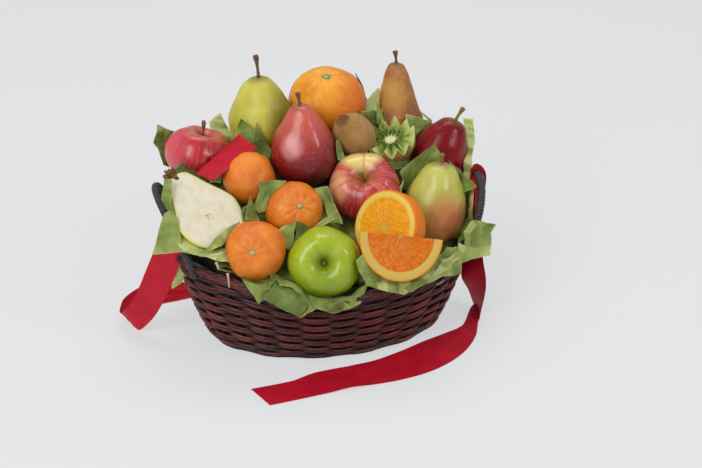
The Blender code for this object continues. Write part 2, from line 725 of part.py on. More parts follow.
def mound_height(x, y):
    """Top of the packed tissue, before the fruit presses into it (mm in, mm out)."""
    marks = [(-125, 95), (-110, 97), (-90, 101), (-60, 113), (-30, 127), (0, 142), (30, 157), (60, 172),
             (90, 177), (140, 177)]
    z = marks[-1][1]
    for (ya, za), (yb, zb) in zip(marks, marks[1:]):
        if y <= yb:
            z = za + (zb - za) * (y - ya) / (yb - ya)
            break
    z += -4 - 0.08 * x
    z += 13 * math.exp(-(((x - 52) / 30) ** 2 + ((y + 82) / 24) ** 2))
    z += 8 * math.exp(-(((x + 125) / 30) ** 2 + ((y + 36) / 26) ** 2))
    return z


def build_mound():
    n = 32
    rings = [oval(BASE_A - WALL_T - 0.002, BASE_B - WALL_T - 0.002, FLOOR_T + 2 * GAP, n)]
    a, b = wall_axes(0.04)
    rings.append(oval(a - WALL_T - 0.0016, b - WALL_T - 0.0016, 0.04, n))
    a, b = wall_axes(WALL_TOP)
    rings.append(oval(a - WALL_T - 0.0016, b - WALL_T - 0.0016, WALL_TOP - 0.002, n))
    rings.append(oval(RIM_A - 0.0135, RIM_B - 0.0135, RIM_Z + RIM_HALF_H + 0.0008, n))
    for s in (1.0, 0.97, 0.91, 0.80, 0.66, 0.50, 0.33, 0.16):
        ring = []
        for i in range(n):
            t = 2 * math.pi * i / n
            k = 0.93 + 0.19 * smooth_step(0.50, 0.80, math.sin(t))
            x, y = (RIM_A - 0.0045) * k * s * math.cos(t), (RIM_B - 0.0045) * k * s * math.sin(t)
            level = mound_height(x / MM, y / MM) * MM
            z = 0.0972 + (level - 0.0972) * (1 - s ** 8) ** 0.6
            ring.append((x, y, max(z, 0.0972)))
        rings.append(ring)
    return add_object("tissue_bed", *loft(rings), "tissue")


# --------------------------------------------------------------------- straw
def straw(name, start, end, width, thick):
    a, b = Vector(start) * MM, Vector(end) * MM
    d = (b - a).normalized()
    side = d.cross(Vector((0, 1, 0))).normalized()
    out = side.cross(d).normalized()
    rings = []
    for i in range(4):
        t = i / 3
        c = a.lerp(b, t) + out * 0.0008 * math.sin(math.pi * t)
        rings.append([c + side * width * MM / 2 * s + out * thick * MM / 2 * o
                      for s, o in ((-1, -1), (1, -1), (1, 1), (-1, 1))])
    return add_object(name, *loft(rings), "straw")


# --------------------------------------------------------------------- build
def main():
    for obj in list(bpy.data.objects):
        bpy.data.objects.remove(obj, do_unlink=True)

    wall, floor, rim = build_basket()
    left = build_handle("handle_left", -1, HANDLE_LEFT)
    right = build_handle("handle_right", 1, HANDLE_RIGHT)
    basket = [wall, floor, rim, left, right]

    fruits = [build_whole(name) for name in WHOLE]
    fruits += build_cut_fruit()

    ribbons = [ribbon("ribbon_right", RIBBON_RIGHT, RIBBON_W, 2),
               ribbon("ribbon_left", RIBBON_LEFT, RIBBON_W, 3),
               ribbon("ribbon_inner", RIBBON_INNER, RIBBON_W * 0.9, 2)]
    for strip in ribbons:
        cut(strip, basket + fruits, GROW)

    mound = build_mound()
    cut(mound, ribbons, GROW)

    solid = basket + fruits + ribbons
    flaps = []
    for name in FLAPS:
        piece = flap(name)
        cut(piece, solid + [mound] + flaps, GROW)
        flaps.append(piece)
    cut(mound, basket + fruits, GROW)

    straws = [straw("straw_tuft", (-127, -92, 103), (-124, -94, 95), 3.0, 1.0),
              straw("straw_strip", (-118, -90, 101), (-116, -96, 84), 2.6, 1.0),
              straw("straw_bit", (110, -91, 79), (117, -89, 74), 2.2, 1.0)]
    for piece in straws:
        cut(piece, solid + flaps + [mound], GROW)


main()
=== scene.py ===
"""Looks of the fruit gift basket: woven rods, twisted handles, crumpled tissue,
satin ribbon, whole and cut fruit.  Metres, +Z up, -Y is the front."""

import math

import bpy
import numpy as np
from mathutils import Matrix, Vector


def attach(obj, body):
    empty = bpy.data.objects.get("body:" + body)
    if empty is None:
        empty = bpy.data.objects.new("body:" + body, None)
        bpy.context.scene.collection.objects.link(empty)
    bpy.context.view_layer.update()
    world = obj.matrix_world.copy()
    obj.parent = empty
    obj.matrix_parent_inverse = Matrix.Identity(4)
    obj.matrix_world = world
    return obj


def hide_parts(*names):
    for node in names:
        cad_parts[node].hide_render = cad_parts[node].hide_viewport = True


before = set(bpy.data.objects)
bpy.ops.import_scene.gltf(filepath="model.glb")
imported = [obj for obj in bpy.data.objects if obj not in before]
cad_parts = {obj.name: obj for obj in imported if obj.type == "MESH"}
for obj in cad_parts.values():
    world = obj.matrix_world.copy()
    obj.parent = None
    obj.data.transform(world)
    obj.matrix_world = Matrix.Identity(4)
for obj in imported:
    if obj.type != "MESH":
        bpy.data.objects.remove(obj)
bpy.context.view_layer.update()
MM = 0.001
TAU = 2 * math.pi
scene = bpy.context.scene
scene.view_settings.view_transform = "Standard"
scene.view_settings.look = "None"

# -------------------------------------------------------------------- camera
AZ, PITCH, FOCAL = math.radians(-12.0), math.radians(27.5), 1500.0
RIGHT = Vector((math.cos(AZ), math.sin(AZ), 0.0))
BACK = Vector((math.sin(AZ) * math.cos(PITCH), -math.cos(AZ) * math.cos(PITCH), math.sin(PITCH)))
UP = BACK.cross(RIGHT)
EYE = Vector((-0.267658, -1.396792, 0.841894))

cam_data = bpy.data.cameras.new("camera")
cam_data.sensor_width = 36.0
cam_data.sensor_fit = "HORIZONTAL"
cam_data.lens = FOCAL * 36.0 / 702.0
cam_data.clip_end = 100.0
camera = bpy.data.objects.new("camera", cam_data)
turn = Matrix((RIGHT, UP, BACK)).transposed()
camera.matrix_world = Matrix.Translation(EYE) @ turn.to_4x4()
scene.collection.objects.link(camera)
scene.camera = camera


def at(px, py, y):
    """Point (m) seen at a place in the frame, on the upright plane y (mm)."""
    ray = RIGHT * ((px - 351.0) / FOCAL) - UP * ((py - 234.0) / FOCAL) - BACK
    return EYE + ray * ((y * MM - EYE.y) / ray.y)


# --------------------------------------------------------------------- noise
def _corner(ix, iy, iz, seed):
    h = (ix * 374761393 + iy * 668265263 + iz * 1440662683 + seed * 974634777) & 0xFFFFFFFF
    h = ((h ^ (h >> 13)) * 1274126177) & 0xFFFFFFFF
    return ((h ^ (h >> 16)) & 0xFFFF) / 32767.5 - 1.0


def lattice(p, seed=0):
    p = np.asarray(p, float)
    i = np.floor(p).astype(np.int64)
    f = p - i
    f = f * f * f * (f * (f * 6 - 15) + 10)
    out = 0.0
    for dx in (0, 1):
        wx = f[..., 0] if dx else 1 - f[..., 0]
        for dy in (0, 1):
            wy = f[..., 1] if dy else 1 - f[..., 1]
            for dz in (0, 1):
                wz = f[..., 2] if dz else 1 - f[..., 2]
                out = out + wx * wy * wz * _corner(i[..., 0] + dx, i[..., 1] + dy, i[..., 2] + dz, seed)
    return out


def fbm(p, size, octaves=2, seed=0):
    """Smooth noise, about -1 to 1, with features of the given size (m)."""
    p = np.asarray(p, float) / size
    out, gain = 0.0, 1.0
    for k in range(octaves):
        out = out + gain * lattice(p * 2 ** k + 7.3 * k, seed + 17 * k)
        gain *= 0.5
    return out


# -------------------------------------------------------------------- meshes
def grid_faces(rows, cols, wrap=False, base=0):
    i = np.arange(rows - 1)[:, None]
    j = np.arange(cols if wrap else cols - 1)[None, :]
    k = (j + 1) % cols
    quads = np.stack([i * cols + j, i * cols + k, (i + 1) * cols + k, (i + 1) * cols + j], -1)
    return (quads.reshape(-1, 4) + base).tolist()


class Shell:
    """Collects vertices, faces, named values and material indices of one piece."""

    def __init__(self):
        self.v, self.f, self.m, self.a, self.n = [], [], [], {}, 0

    def add(self, verts, faces, mat=0, **values):
        verts = np.asarray(verts, float).reshape(-1, 3)
        self.v.append(verts)
        self.f += [tuple(i + self.n for i in face) for face in faces]
        self.m += [mat] * len(faces)
        for key in set(self.a) | set(values):
            col = self.a.setdefault(key, [np.zeros(self.n)])
            value = values.get(key, 0.0)
            col.append(np.broadcast_to(np.asarray(value, float).ravel() if np.ndim(value) else value,
                                       (len(verts),)))
        self.n += len(verts)

    def build(self, name, mats, sharp=None, matrix=None):
        mesh = bpy.data.meshes.new(name)
        mesh.from_pydata(np.concatenate(self.v).tolist(), [], self.f)
        for mat in mats if isinstance(mats, (list, tuple)) else [mats]:
            mesh.materials.append(mat.m if isinstance(mat, Finish) else mat)
        mesh.polygons.foreach_set("material_index", self.m)
        for key, parts in self.a.items():
            layer = mesh.attributes.new(key, "FLOAT", "POINT")
            layer.data.foreach_set("value", np.concatenate(parts).astype(np.float32))
        mesh.validate()
        mesh.shade_smooth()
        if sharp:
            mesh.set_sharp_from_angle(angle=math.radians(sharp))
        mesh.update()
        obj = bpy.data.objects.new(name, mesh)
        if matrix is not None:
            obj.matrix_world = matrix
        scene.collection.objects.link(obj)
        return obj


def unit(v):
    return v / np.maximum(np.linalg.norm(v, axis=-1, keepdims=True), 1e-12)


def tube(shell, path, radius, sides=8, closed=False, mat=0, ref=(0, 0, 1), flat=1.0, **values):
    """A rod along a path; its lengthwise and round-about positions become values."""
    path = np.asarray(path, float)
    n = len(path)
    if closed:
        ahead = np.roll(path, -1, 0) - np.roll(path, 1, 0)
    else:
        ahead = np.gradient(path, axis=0)
    t = unit(ahead)
    ref = np.broadcast_to(np.asarray(ref, float), t.shape)
    a = unit(ref - t * (ref * t).sum(-1, keepdims=True))
    b = np.cross(t, a)
    w = np.arange(sides) / sides * TAU
    r = np.broadcast_to(np.asarray(radius, float), (n,))[:, None, None]
    ring = (a[:, None] * (np.cos(w) * flat)[None, :, None] + b[:, None] * np.sin(w)[None, :, None]) * r
    verts = path[:, None] + ring
    run = np.concatenate([[0], np.cumsum(np.linalg.norm(np.diff(path, axis=0), axis=1))])
    faces = grid_faces(n, sides, True)
    if closed:
        last = (n - 1) * sides
        faces += [(last + k, last + (k + 1) % sides, (k + 1) % sides, k) for k in range(sides)]
    else:
        faces += [tuple(range(sides - 1, -1, -1)), tuple((n - 1) * sides + k for k in range(sides))]
    values = {k: (np.repeat(v, sides) if np.ndim(v) else v) for k, v in values.items()}
    shell.add(verts, faces, mat, along=np.repeat(run, sides), ca=np.tile(np.cos(w), n),
              sa=np.tile(np.sin(w), n), **values)


def turned(shell, r, z, sides=112, shape=None, noise=(0.0, 0.02, 0), mat=0, **values):
    """Closed body turned about Z from its top pole to its bottom pole (r is 0 at both)."""
    th = np.arange(sides) / sides * TAU
    rr = np.repeat(r[1:-1, None], sides, 1)
    zz = np.repeat(z[1:-1, None], sides, 1)
    if shape:
        t = np.linspace(0, 1, len(r))[1:-1, None]
        rr, zz = shape(th[None, :], t, rr, zz)
    rows = np.stack([rr * np.cos(th), rr * np.sin(th), zz], -1)
    top = np.array([[0, 0, z[0] + (zz[0].mean() - z[1])]])
    low = np.array([[0, 0, z[-1] + (zz[-1].mean() - z[-2])]])
    verts = np.concatenate([top, rows.reshape(-1, 3), low])
    amp, size, seed = noise
    if amp:
        verts = verts + unit(verts - np.array([0, 0, (z[0] + z[-1]) / 2])) * (amp * fbm(verts, size, 2, seed))[:, None]
    n = len(rows)
    faces = grid_faces(n, sides, True, 1)
    faces = [f[::-1] for f in faces]
    faces += [(0, 1 + k, 1 + (k + 1) % sides) for k in range(sides)]
    last, a = len(verts) - 1, 1 + (n - 1) * sides
    faces += [(last, a + (k + 1) % sides, a + k) for k in range(sides)]
    shell.add(verts, faces, mat, **values)
    return verts


def spline(points, per):
    pts = [np.asarray(p, float) for p in points]
    out = []
    for i in range(len(pts) - 1):
        p0, p1, p2, p3 = pts[max(i - 1, 0)], pts[i], pts[i + 1], pts[min(i + 2, len(pts) - 1)]
        for k in range(per):
            t = k / per
            out.append(0.5 * (2 * p1 + (p2 - p0) * t + (2 * p0 - 5 * p1 + 4 * p2 - p3) * t * t
                              + (3 * p1 - p0 - 3 * p2 + p3) * t ** 3))
    out.append(pts[-1])
    return np.array(out)


def seat(centre, axis, roll=0.0):
    """Places a fruit: local +Z goes to axis; centre in mm."""
    q = Vector((0, 0, 1)).rotation_difference(Vector(axis).normalized())
    rot = q.to_matrix() @ Matrix.Rotation(roll, 3, "Z")
    return Matrix.Translation(Vector(centre) * MM) @ rot.to_4x4()


# ----------------------------------------------------------------- materials
def s(r, g, b):
    """sRGB 0-255 to linear."""
    return tuple(((c / 255 + 0.055) / 1.055) ** 2.4 if c > 10 else c / 255 / 12.92 for c in (r, g, b))


class Finish:
    """A procedural material; its methods add nodes and give back sockets."""

    def __init__(self, name, **values):
        self.m = bpy.data.materials.new(name)
        self.m.use_nodes = True
        self.t = self.m.node_tree
        self.b = self.t.nodes["Principled BSDF"]
        for key, value in values.items():
            self.put(self.b.inputs[key.replace("_", " ")], value)
        self.p = self.node("ShaderNodeTexCoord").outputs["Object"]

    def node(self, kind, **props):
        n = self.t.nodes.new(kind)
        for key, value in props.items():
            setattr(n, key, value)
        return n

    def put(self, socket, value):
        if isinstance(value, bpy.types.NodeSocket):
            self.t.links.new(value, socket)
        elif isinstance(value, (tuple, list, Vector)) and socket.type == "RGBA":
            socket.default_value = (*tuple(value)[:3], 1.0)
        else:
            socket.default_value = value

    def set(self, **values):
        for key, value in values.items():
            self.put(self.b.inputs[key.replace("_", " ")], value)
        return self

    def math(self, op, a, b=0.0, clamp=False):
        n = self.node("ShaderNodeMath", operation=op, use_clamp=clamp)
        self.put(n.inputs[0], a)
        self.put(n.inputs[1], b)
        return n.outputs[0]

    def vec(self, op, a, b=None, out=0):
        n = self.node("ShaderNodeVectorMath", operation=op)
        self.put(n.inputs[0], a)
        if b is not None:
            self.put(n.inputs["Scale"] if op == "SCALE" else n.inputs[1], b)
        return n.outputs[out]

    def mix(self, fac, a, b, blend="MIX"):
        n = self.node("ShaderNodeMix", data_type="RGBA", blend_type=blend)
        self.put(n.inputs[0], fac)
        self.put(n.inputs[6], a)
        self.put(n.inputs[7], b)
        return n.outputs[2]

    def noise(self, scale, detail=3.0, rough=0.5, vec=None, warp=0.0):
        n = self.node("ShaderNodeTexNoise")
        self.put(n.inputs["Vector"], vec if vec is not None else self.p)
        for key, value in (("Scale", scale), ("Detail", detail), ("Roughness", rough), ("Distortion", warp)):
            n.inputs[key].default_value = value
        return n.outputs["Fac"]

    def cells(self, scale, vec=None, feature="F1", out="Distance", rand=1.0):
        n = self.node("ShaderNodeTexVoronoi", feature=feature)
        self.put(n.inputs["Vector"], vec if vec is not None else self.p)
        n.inputs["Scale"].default_value = scale
        n.inputs["Randomness"].default_value = rand
        return n.outputs[out]

    def span(self, v, a, b, c=0.0, d=1.0):
        n = self.node("ShaderNodeMapRange", interpolation_type="SMOOTHSTEP")
        for k, value in enumerate((v, a, b, c, d)):
            self.put(n.inputs[k], value)
        return n.outputs[0]

    def xyz(self, v=None):
        n = self.node("ShaderNodeSeparateXYZ")
        self.put(n.inputs[0], v if v is not None else self.p)
        return n.outputs[0], n.outputs[1], n.outputs[2]

    def join(self, x, y, z):
        n = self.node("ShaderNodeCombineXYZ")
        for k, value in enumerate((x, y, z)):
            self.put(n.inputs[k], value)
        return n.outputs[0]

    def value(self, name):
        return self.node("ShaderNodeAttribute", attribute_name=name).outputs["Fac"]

    def bump(self, height, distance, strength=1.0, after=None):
        n = self.node("ShaderNodeBump")
        n.inputs["Strength"].default_value = strength
        n.inputs["Distance"].default_value = distance
        self.put(n.inputs["Height"], height)
        if after is not None:
            self.put(n.inputs["Normal"], after)
        return n.outputs[0]

    def facing(self, direction):
        """How far a point of the body lies to a side: dot of its direction with a local one."""
        d = self.node("ShaderNodeVectorMath", operation="DOT_PRODUCT")
        self.put(d.inputs[0], self.vec("NORMALIZE", self.p))
        d.inputs[1].default_value = tuple(direction)
        return d.outputs["Value"]


# ------------------------------------------------------------ floor and light
def floor_and_light():
    shell = Shell()
    g = np.linspace(-9, 9, 19)
    shell.add([(x, y, 0.0) for y in g for x in g], grid_faces(19, 19))
    pale = Finish("studio_floor", Roughness=0.85)
    pale.set(Base_Color=pale.mix(pale.noise(3.0, 2.0), (0.74, 0.75, 0.76), (0.76, 0.77, 0.78)))
    pale.set(Specular_IOR_Level=0.05)
    glow = pale.node("ShaderNodeEmission")
    pale.put(glow.inputs["Color"], pale.mix(pale.noise(2.0, 2.0), (0.772, 0.780, 0.788), (0.780, 0.788, 0.796)))
    even = pale.node("ShaderNodeMixShader")
    even.inputs[0].default_value = 0.66
    pale.t.links.new(pale.b.outputs[0], even.inputs[1])
    pale.t.links.new(glow.outputs[0], even.inputs[2])
    sink = next(n for n in pale.t.nodes if n.type == "OUTPUT_MATERIAL")
    pale.t.links.new(even.outputs[0], sink.inputs["Surface"])
    shell.build("studio_floor", pale)

    world = bpy.data.worlds.new("studio")
    scene.world = world
    world.use_nodes = True
    back = world.node_tree.nodes["Background"]
    back.inputs["Color"].default_value = (0.95, 0.97, 1.0, 1.0)
    back.inputs["Strength"].default_value = 0.47

    def softbox(name, place, target, size, power, colour=(1, 1, 1)):
        data = bpy.data.lights.new(name, "AREA")
        data.shape = "RECTANGLE"
        data.size, data.size_y = size
        data.energy = power
        data.color = colour
        lamp = bpy.data.objects.new(name, data)
        aim = (Vector(target) - Vector(place)).to_track_quat("-Z", "Y")
        lamp.matrix_world = Matrix.Translation(place) @ aim.to_matrix().to_4x4()
        scene.collection.objects.link(lamp)

    softbox("softbox_left", (-1.45, -1.25, 1.75), (0, 0, 0.12), (1.2, 1.9), 33.0, (1.0, 0.985, 0.96))
    softbox("strip_right", (1.25, -1.15, 1.25), (0, 0, 0.14), (0.22, 0.8), 8.0, (1.0, 0.99, 0.97))
    softbox("softbox_top", (0.2, 0.9, 2.3), (0, 0, 0.1), (1.6, 1.0), 16.0)


floor_and_light()

# -------------------------------------------------------------------- basket
BASE_A, BASE_B, RIM_A, RIM_B = 0.130, 0.087, 0.165, 0.121
WALL_TOP, RIM_Z, RIM_TOP = 0.0855, 0.0899, 0.0943
STAKES = 28


def wall_axes(z):
    u = np.clip(z / 0.094, 0, 1)
    bulge = 0.0015 * np.sin(math.pi * u)
    return BASE_A + (RIM_A - BASE_A) * u + bulge, BASE_B + (RIM_B - BASE_B) * u + bulge


_t = np.linspace(0, TAU, 4001)
_run = np.concatenate([[0], np.cumsum(np.hypot(np.diff(0.150 * np.cos(_t)), np.diff(0.106 * np.sin(_t))))])


def theta_of(share):
    """Angle on the oval at a share of its way round."""
    return np.interp(np.mod(share, 1.0), _run / _run[-1], _t)


def oval_frame(th, a, b):
    out = unit(np.stack([np.cos(th) / a, np.sin(th) / b, 0 * th], -1))
    return np.stack([a * np.cos(th), b * np.sin(th), 0 * th], -1), out


def saddle(th):
    """The rim stands higher at the two ends."""
    u = np.clip((np.abs(np.cos(th)) - 0.32) / 0.50, 0, 1)
    return u * u * (3 - 2 * u)


SADDLE = 0.0125


def lift_of(th):
    """How far the rim stands above its middle height: up at the ends, down under the apple."""
    dip = np.exp(-((np.cos(th) * RIM_A + 0.014) / 0.040) ** 2) * (np.sin(th) < 0)
    return SADDLE * saddle(th) - 0.0048 * dip


def rod_finish():
    m = Finish("glossy_rods", Roughness=0.36, Specular_IOR_Level=0.24)
    along, ca, sa = m.value("along"), m.value("ca"), m.value("sa")
    grain = m.noise(1.0, 3.0, 0.6, m.join(m.math("MULTIPLY", along, 26.0), m.math("MULTIPLY", ca, 1.6),
                                          m.math("MULTIPLY", sa, 1.6)))
    fine = m.noise(1.0, 4.0, 0.65, m.join(m.math("MULTIPLY", along, 160.0), m.math("MULTIPLY", ca, 5.0),
                                          m.math("MULTIPLY", sa, 5.0)))
    tint = m.value("tint")
    wood = m.mix(m.span(m.math("ADD", m.math("MULTIPLY", tint, 0.6), m.math("MULTIPLY", grain, 0.5)), 0.25, 0.85),
                 s(32, 10, 9), s(112, 34, 30))
    # painted highlight: the upper side of each rod is lightened to pale pink where the grain allows
    painted_highlight = m.math("MULTIPLY", m.span(ca, 0.15, 0.95), m.span(grain, 0.42, 0.66, 0.06, 0.52))
    wood = m.mix(painted_highlight, wood, s(166, 108, 106))
    wood = m.mix(m.span(fine, 0.58, 0.80), wood, s(158, 96, 90))
    wood = m.mix(m.span(fine, 0.44, 0.28), wood, s(18, 8, 9))
    # painted shade: the deep value darkens rods toward black where they sit recessed in the weave
    wood = m.mix(m.math("MULTIPLY", m.value("deep"), 0.93), wood, s(9, 4, 5))
    m.set(Base_Color=wood, Roughness=m.span(fine, 0.2, 0.8, 0.24, 0.48),
          Normal=m.bump(m.math("ADD", fine, m.math("MULTIPLY", grain, 0.6)), 0.00035, 0.55))
    m.set(Coat_Weight=0.10, Coat_Roughness=0.20)
    return m


RODS = rod_finish()


def woven_wall():
    rng = np.random.default_rng(3)
    shell = Shell()
    n = 504
    share = np.arange(n) / n
    th = theta_of(share)
    rows = 29
    pitch = (WALL_TOP - 0.0034) / (rows - 1)
    for k in range(rows):
        z0 = 0.0019 + pitch * k
        tight = (1.0 - 0.55 * max(0.0, (k - (rows - 5)) / 4)) * min(1.0, 0.40 + 0.12 * k)
        depth = 0.00235 * tight
        wave = np.cos(STAKES / 2 * TAU * share + math.pi * (k // 2))
        soft = np.sign(wave) * np.abs(wave) ** 0.75
        probe = np.stack([np.cos(th) * 6, np.sin(th) * 6, np.full(n, k * 3.1)], -1)
        drift = lattice(probe, 5)
        slip = lattice(probe * 2.7, 9)
        z = z0 + 0.00045 * drift + 0.00030 * slip + (0.00045 if k % 2 else -0.00045) * wave * tight
        a, b = wall_axes(z)
        centre, out = oval_frame(th, a, b)
        centre = centre + out * (depth * soft - 0.0028 + 0.00025 * slip)[:, None]
        centre[:, 2] = np.maximum(z * (1 + lift_of(th) / 0.094), 0.0016)
        r = 0.00138 * (1 + 0.14 * drift + rng.uniform(-0.10, 0.10))
        # deep: painted shade on the stretch of each row that sinks in behind a stake
        tube(shell, centre, r, 8, closed=True, tint=np.clip(rng.uniform(0.1, 0.9) + 0.35 * drift, 0, 1),
             deep=np.clip(0.55 - 0.75 * soft, 0, 1))
        if k % 2:
            continue
        # dark inner rods behind every other row, painted all-dark (deep=1.0) to stand for the shade seen through the
        # gaps
        a, b = wall_axes(z)
        inner, _ = oval_frame(th, a - 0.0076, b - 0.0076)
        inner[:, 2] = np.maximum((z0 + pitch / 2 + 0.0005 * slip) * (1 + lift_of(th) / 0.094), 0.0030)
        tube(shell, inner[::2], 0.0031, 6, closed=True, tint=0.1, deep=1.0)
    # upright stakes between the rows, darkened with deep=0.7 as painted shade because they sit behind the rods
    for i in range(STAKES):
        t = theta_of(np.array([i / STAKES]))
        z = np.linspace(0.0045, WALL_TOP - 0.0005, 14)
        a, b = wall_axes(z)
        centre, out = oval_frame(np.repeat(t, len(z)), a, b)
        centre = centre - out * 0.0041
        centre[:, 2] = z * (1 + float(lift_of(t)[0]) / 0.094)
        tube(shell, centre, 0.0016, 7, ref=(0, 1, 0.01), tint=rng.uniform(0, 0.5), deep=0.7)
    return shell.build("woven_wall", RODS)


def woven_floor():
    rng = np.random.default_rng(4)
    shell = Shell()
    a0, b0 = BASE_A - 0.0086, BASE_B - 0.0086
    step = 0.0035
    k = 0
    while b0 - 0.0018 - step * k > 0.0015:
        a, b = a0 - 0.0018 - step * k, b0 - 0.0018 - step * k
        n = int(max(60, TAU * math.hypot(a, b) / 1.414 / 0.0028))
        share = np.arange(n) / n
        th = share * TAU
        pos, out = oval_frame(th, a, b)
        wave = np.cos(STAKES / 2 * TAU * share + math.pi * k)
        pos[:, 2] = 0.0040 + 0.0017 * wave
        # deep: painted shade on the low stretches of each ring, where it dips into the weave
        tube(shell, pos, 0.00158, 6, closed=True, tint=rng.uniform(0.1, 0.8), deep=np.clip(0.35 - 0.3 * wave, 0, 1))
        k += 1
    for i in range(9):   # cross sticks
        x = (i - 4) * 0.021
        half = (b0 - 0.002) * math.sqrt(max(0.0, 1 - (x / a0) ** 2))
        y = np.linspace(-half, half, 16)
        # deep=0.4: the cross sticks under the rings are darkened as painted shade
        tube(shell, np.stack([np.full(16, x), y, np.full(16, 0.0040)], -1), 0.0014, 6, tint=0.3, deep=0.4)
    return shell.build("woven_floor", RODS)


def rolled_rim():
    rng = np.random.default_rng(6)
    shell = Shell()
    n, strands = 620, 6
    share = np.arange(n) / n
    th = theta_of(share)
    lift = lift_of(th)
    pos, out = oval_frame(th, RIM_A - 0.0050, RIM_B - 0.0050)
    for k in range(strands):
        # whole turns, so that every strand closes on itself
        w = TAU * (k / strands) + TAU * 5 * share
        path = pos + out * (0.0031 * np.cos(w))[:, None]
        path[:, 2] = RIM_Z + lift + 0.0026 * np.sin(w) + 0.0003 * lattice(np.stack([th * 9, th * 0, th * 0 + k], -1), 2)
        # deep: painted shade on the inner side of each rim strand
        tube(shell, path, 0.00195 * (1 + 0.08 * lattice(np.stack([th * 5, th * 0, th * 0 + k], -1), 3)), 8,
             closed=True, tint=rng.uniform(0.1, 0.8), deep=np.clip(0.25 - 0.35 * np.cos(w), 0, 1))
    # border rods that slant over the strands
    for i in range(STAKES * 2):
        u = np.linspace(0, 1, 16)
        sh = (i + 0.5) / (STAKES * 2) + u * 1.55 / STAKES
        t = theta_of(sh)
        p, o = oval_frame(t, RIM_A - 0.0048, RIM_B - 0.0048)
        w = math.radians(200) - math.radians(235) * u
        path = p + o * (0.0043 * np.cos(w))[:, None]
        path[:, 2] = RIM_Z + lift_of(t) + 0.0040 * np.sin(w)
        r = 0.00125 * np.clip(np.minimum(u, 1 - u) * 9, 0.35, 1)
        # deep: painted shade, strongest where each border rod starts low inside the rim
        tube(shell, path, r, 7, tint=rng.uniform(0.0, 0.9), deep=0.1 + 0.3 * (1 - u))
    return shell.build("rolled_rim", RODS)


HANDLE_FOOT_X, HANDLE_FOOT_Y = 0.1452, 0.053


def handle_line(sign, apex, n=220):
    angle = np.linspace(0, math.pi, n)
    high, out = apex[1], apex[0]
    sn = np.clip(np.sin(angle), 0, 1)
    return np.stack([sign * (HANDLE_FOOT_X + (out - HANDLE_FOOT_X) * sn ** 1.1),
                     -HANDLE_FOOT_Y * np.cos(angle),
                     RIM_TOP + (high - RIM_TOP) * sn ** 0.9], -1)


def rope_finish():
    m = Finish("twisted_handle", Roughness=0.45, Specular_IOR_Level=0.5)
    along, ca, sa = m.value("along"), m.value("ca"), m.value("sa")
    fibre = m.noise(1.0, 4.0, 0.7, m.join(m.math("MULTIPLY", along, 140.0), m.math("MULTIPLY", ca, 4.0),
                                          m.math("MULTIPLY", sa, 4.0)))
    # painted light: the outer crest of each strand gets pale highlights and the grooves between strands are painted
    # near black as shade
    crest = m.span(m.value("crest"), 0.25, 0.85)
    c = m.mix(m.math("MULTIPLY", m.span(fibre, 0.36, 0.60, 0.3, 1.0), crest), s(8, 7, 8), s(52, 49, 50))
    c = m.mix(m.math("MULTIPLY", m.span(fibre, 0.60, 0.74), crest), c, s(176, 172, 168))
    m.set(Base_Color=c, Roughness=m.span(fibre, 0.3, 0.8, 0.34, 0.60), Normal=m.bump(fibre, 0.0005, 0.7))
    return m


ROPE = rope_finish()


def rope_handle(name, sign, apex):
    rng = np.random.default_rng(8 if sign > 0 else 9)
    shell = Shell()
    line = handle_line(sign, apex, 640)
    t = unit(np.gradient(line, axis=0))
    ref = np.array([0.0, 0.0, 1.0])
    side = np.cross(t, ref)
    side[np.linalg.norm(side, axis=1) < 1e-6] = (1, 0, 0)
    # carry one frame along the handle so that the twist is even
    normal = np.zeros_like(t)
    normal[0] = unit(np.array([sign, 0.0, 0.0]) - t[0] * t[0][0] * sign)
    for i in range(1, len(t)):
        v = normal[i - 1] - t[i] * (normal[i - 1] @ t[i])
        normal[i] = v / np.linalg.norm(v)
    binormal = np.cross(t, normal)
    run = np.concatenate([[0], np.cumsum(np.linalg.norm(np.diff(line, axis=0), axis=1))])
    strands = 4
    for k in range(strands):
        w = TAU * (run / 0.0140 + k / strands)
        path = line + normal * (0.0027 * np.cos(w))[:, None] + binormal * (0.0027 * np.sin(w))[:, None]
        path[:, 2] = np.maximum(path[:, 2], RIM_TOP + 0.0009)
        tube(shell, path, 0.00185 * (1 + 0.12 * lattice(path * 420, k)), 8, ref=(sign, 0.13, 0.2), crest=0.0)
        # how far each point stands out from the rope's middle: high on the crests (painted highlight), low in the
        # grooves (painted shade)
        away = np.linalg.norm(shell.v[-1].reshape(len(path), 8, 3) - line[:, None], axis=-1)
        shell.a["crest"][-1] = np.clip((away - 0.0032) / 0.0013, 0, 1).ravel()
    tube(shell, line, 0.0021, 8, ref=(sign, 0.13, 0.2))
    # ends of the strands, spread out inside the rim
    for end in (0, -1):
        start = line[40 if end == 0 else -41]
        way = -1 if start[1] < 0 else 1
        th0 = math.atan2(line[end][1] / (RIM_B - 0.010), line[end][0] / (RIM_A - 0.010))
        for k in range(9):
            th1 = th0 + (k - 2.5) * 0.034 * way * sign + rng.uniform(-0.01, 0.01)
            inner = np.array([(RIM_A - 0.0125 - 0.0008 * (k % 3)) * math.cos(th1), (RIM_B - 0.0125 - 0.0008 * (k % 3)) * math.sin(th1), 0.0965])
            low = inner * np.array([0.985, 0.985, 0]) + np.array([0, 0, 0.088])
            mid = (start + inner) / 2 + np.array([0.002 * rng.uniform(-1, 1), 0.003 * way, 0.004])
            path = spline([start + np.array([0, 0, 0.004]) + rng.normal(0, 0.0012, 3), mid, inner, low], 8)
            tube(shell, path, 0.00155, 7, ref=(0.1, 0.3, 1.0), crest=0.10)
    return shell.build(name, ROPE)


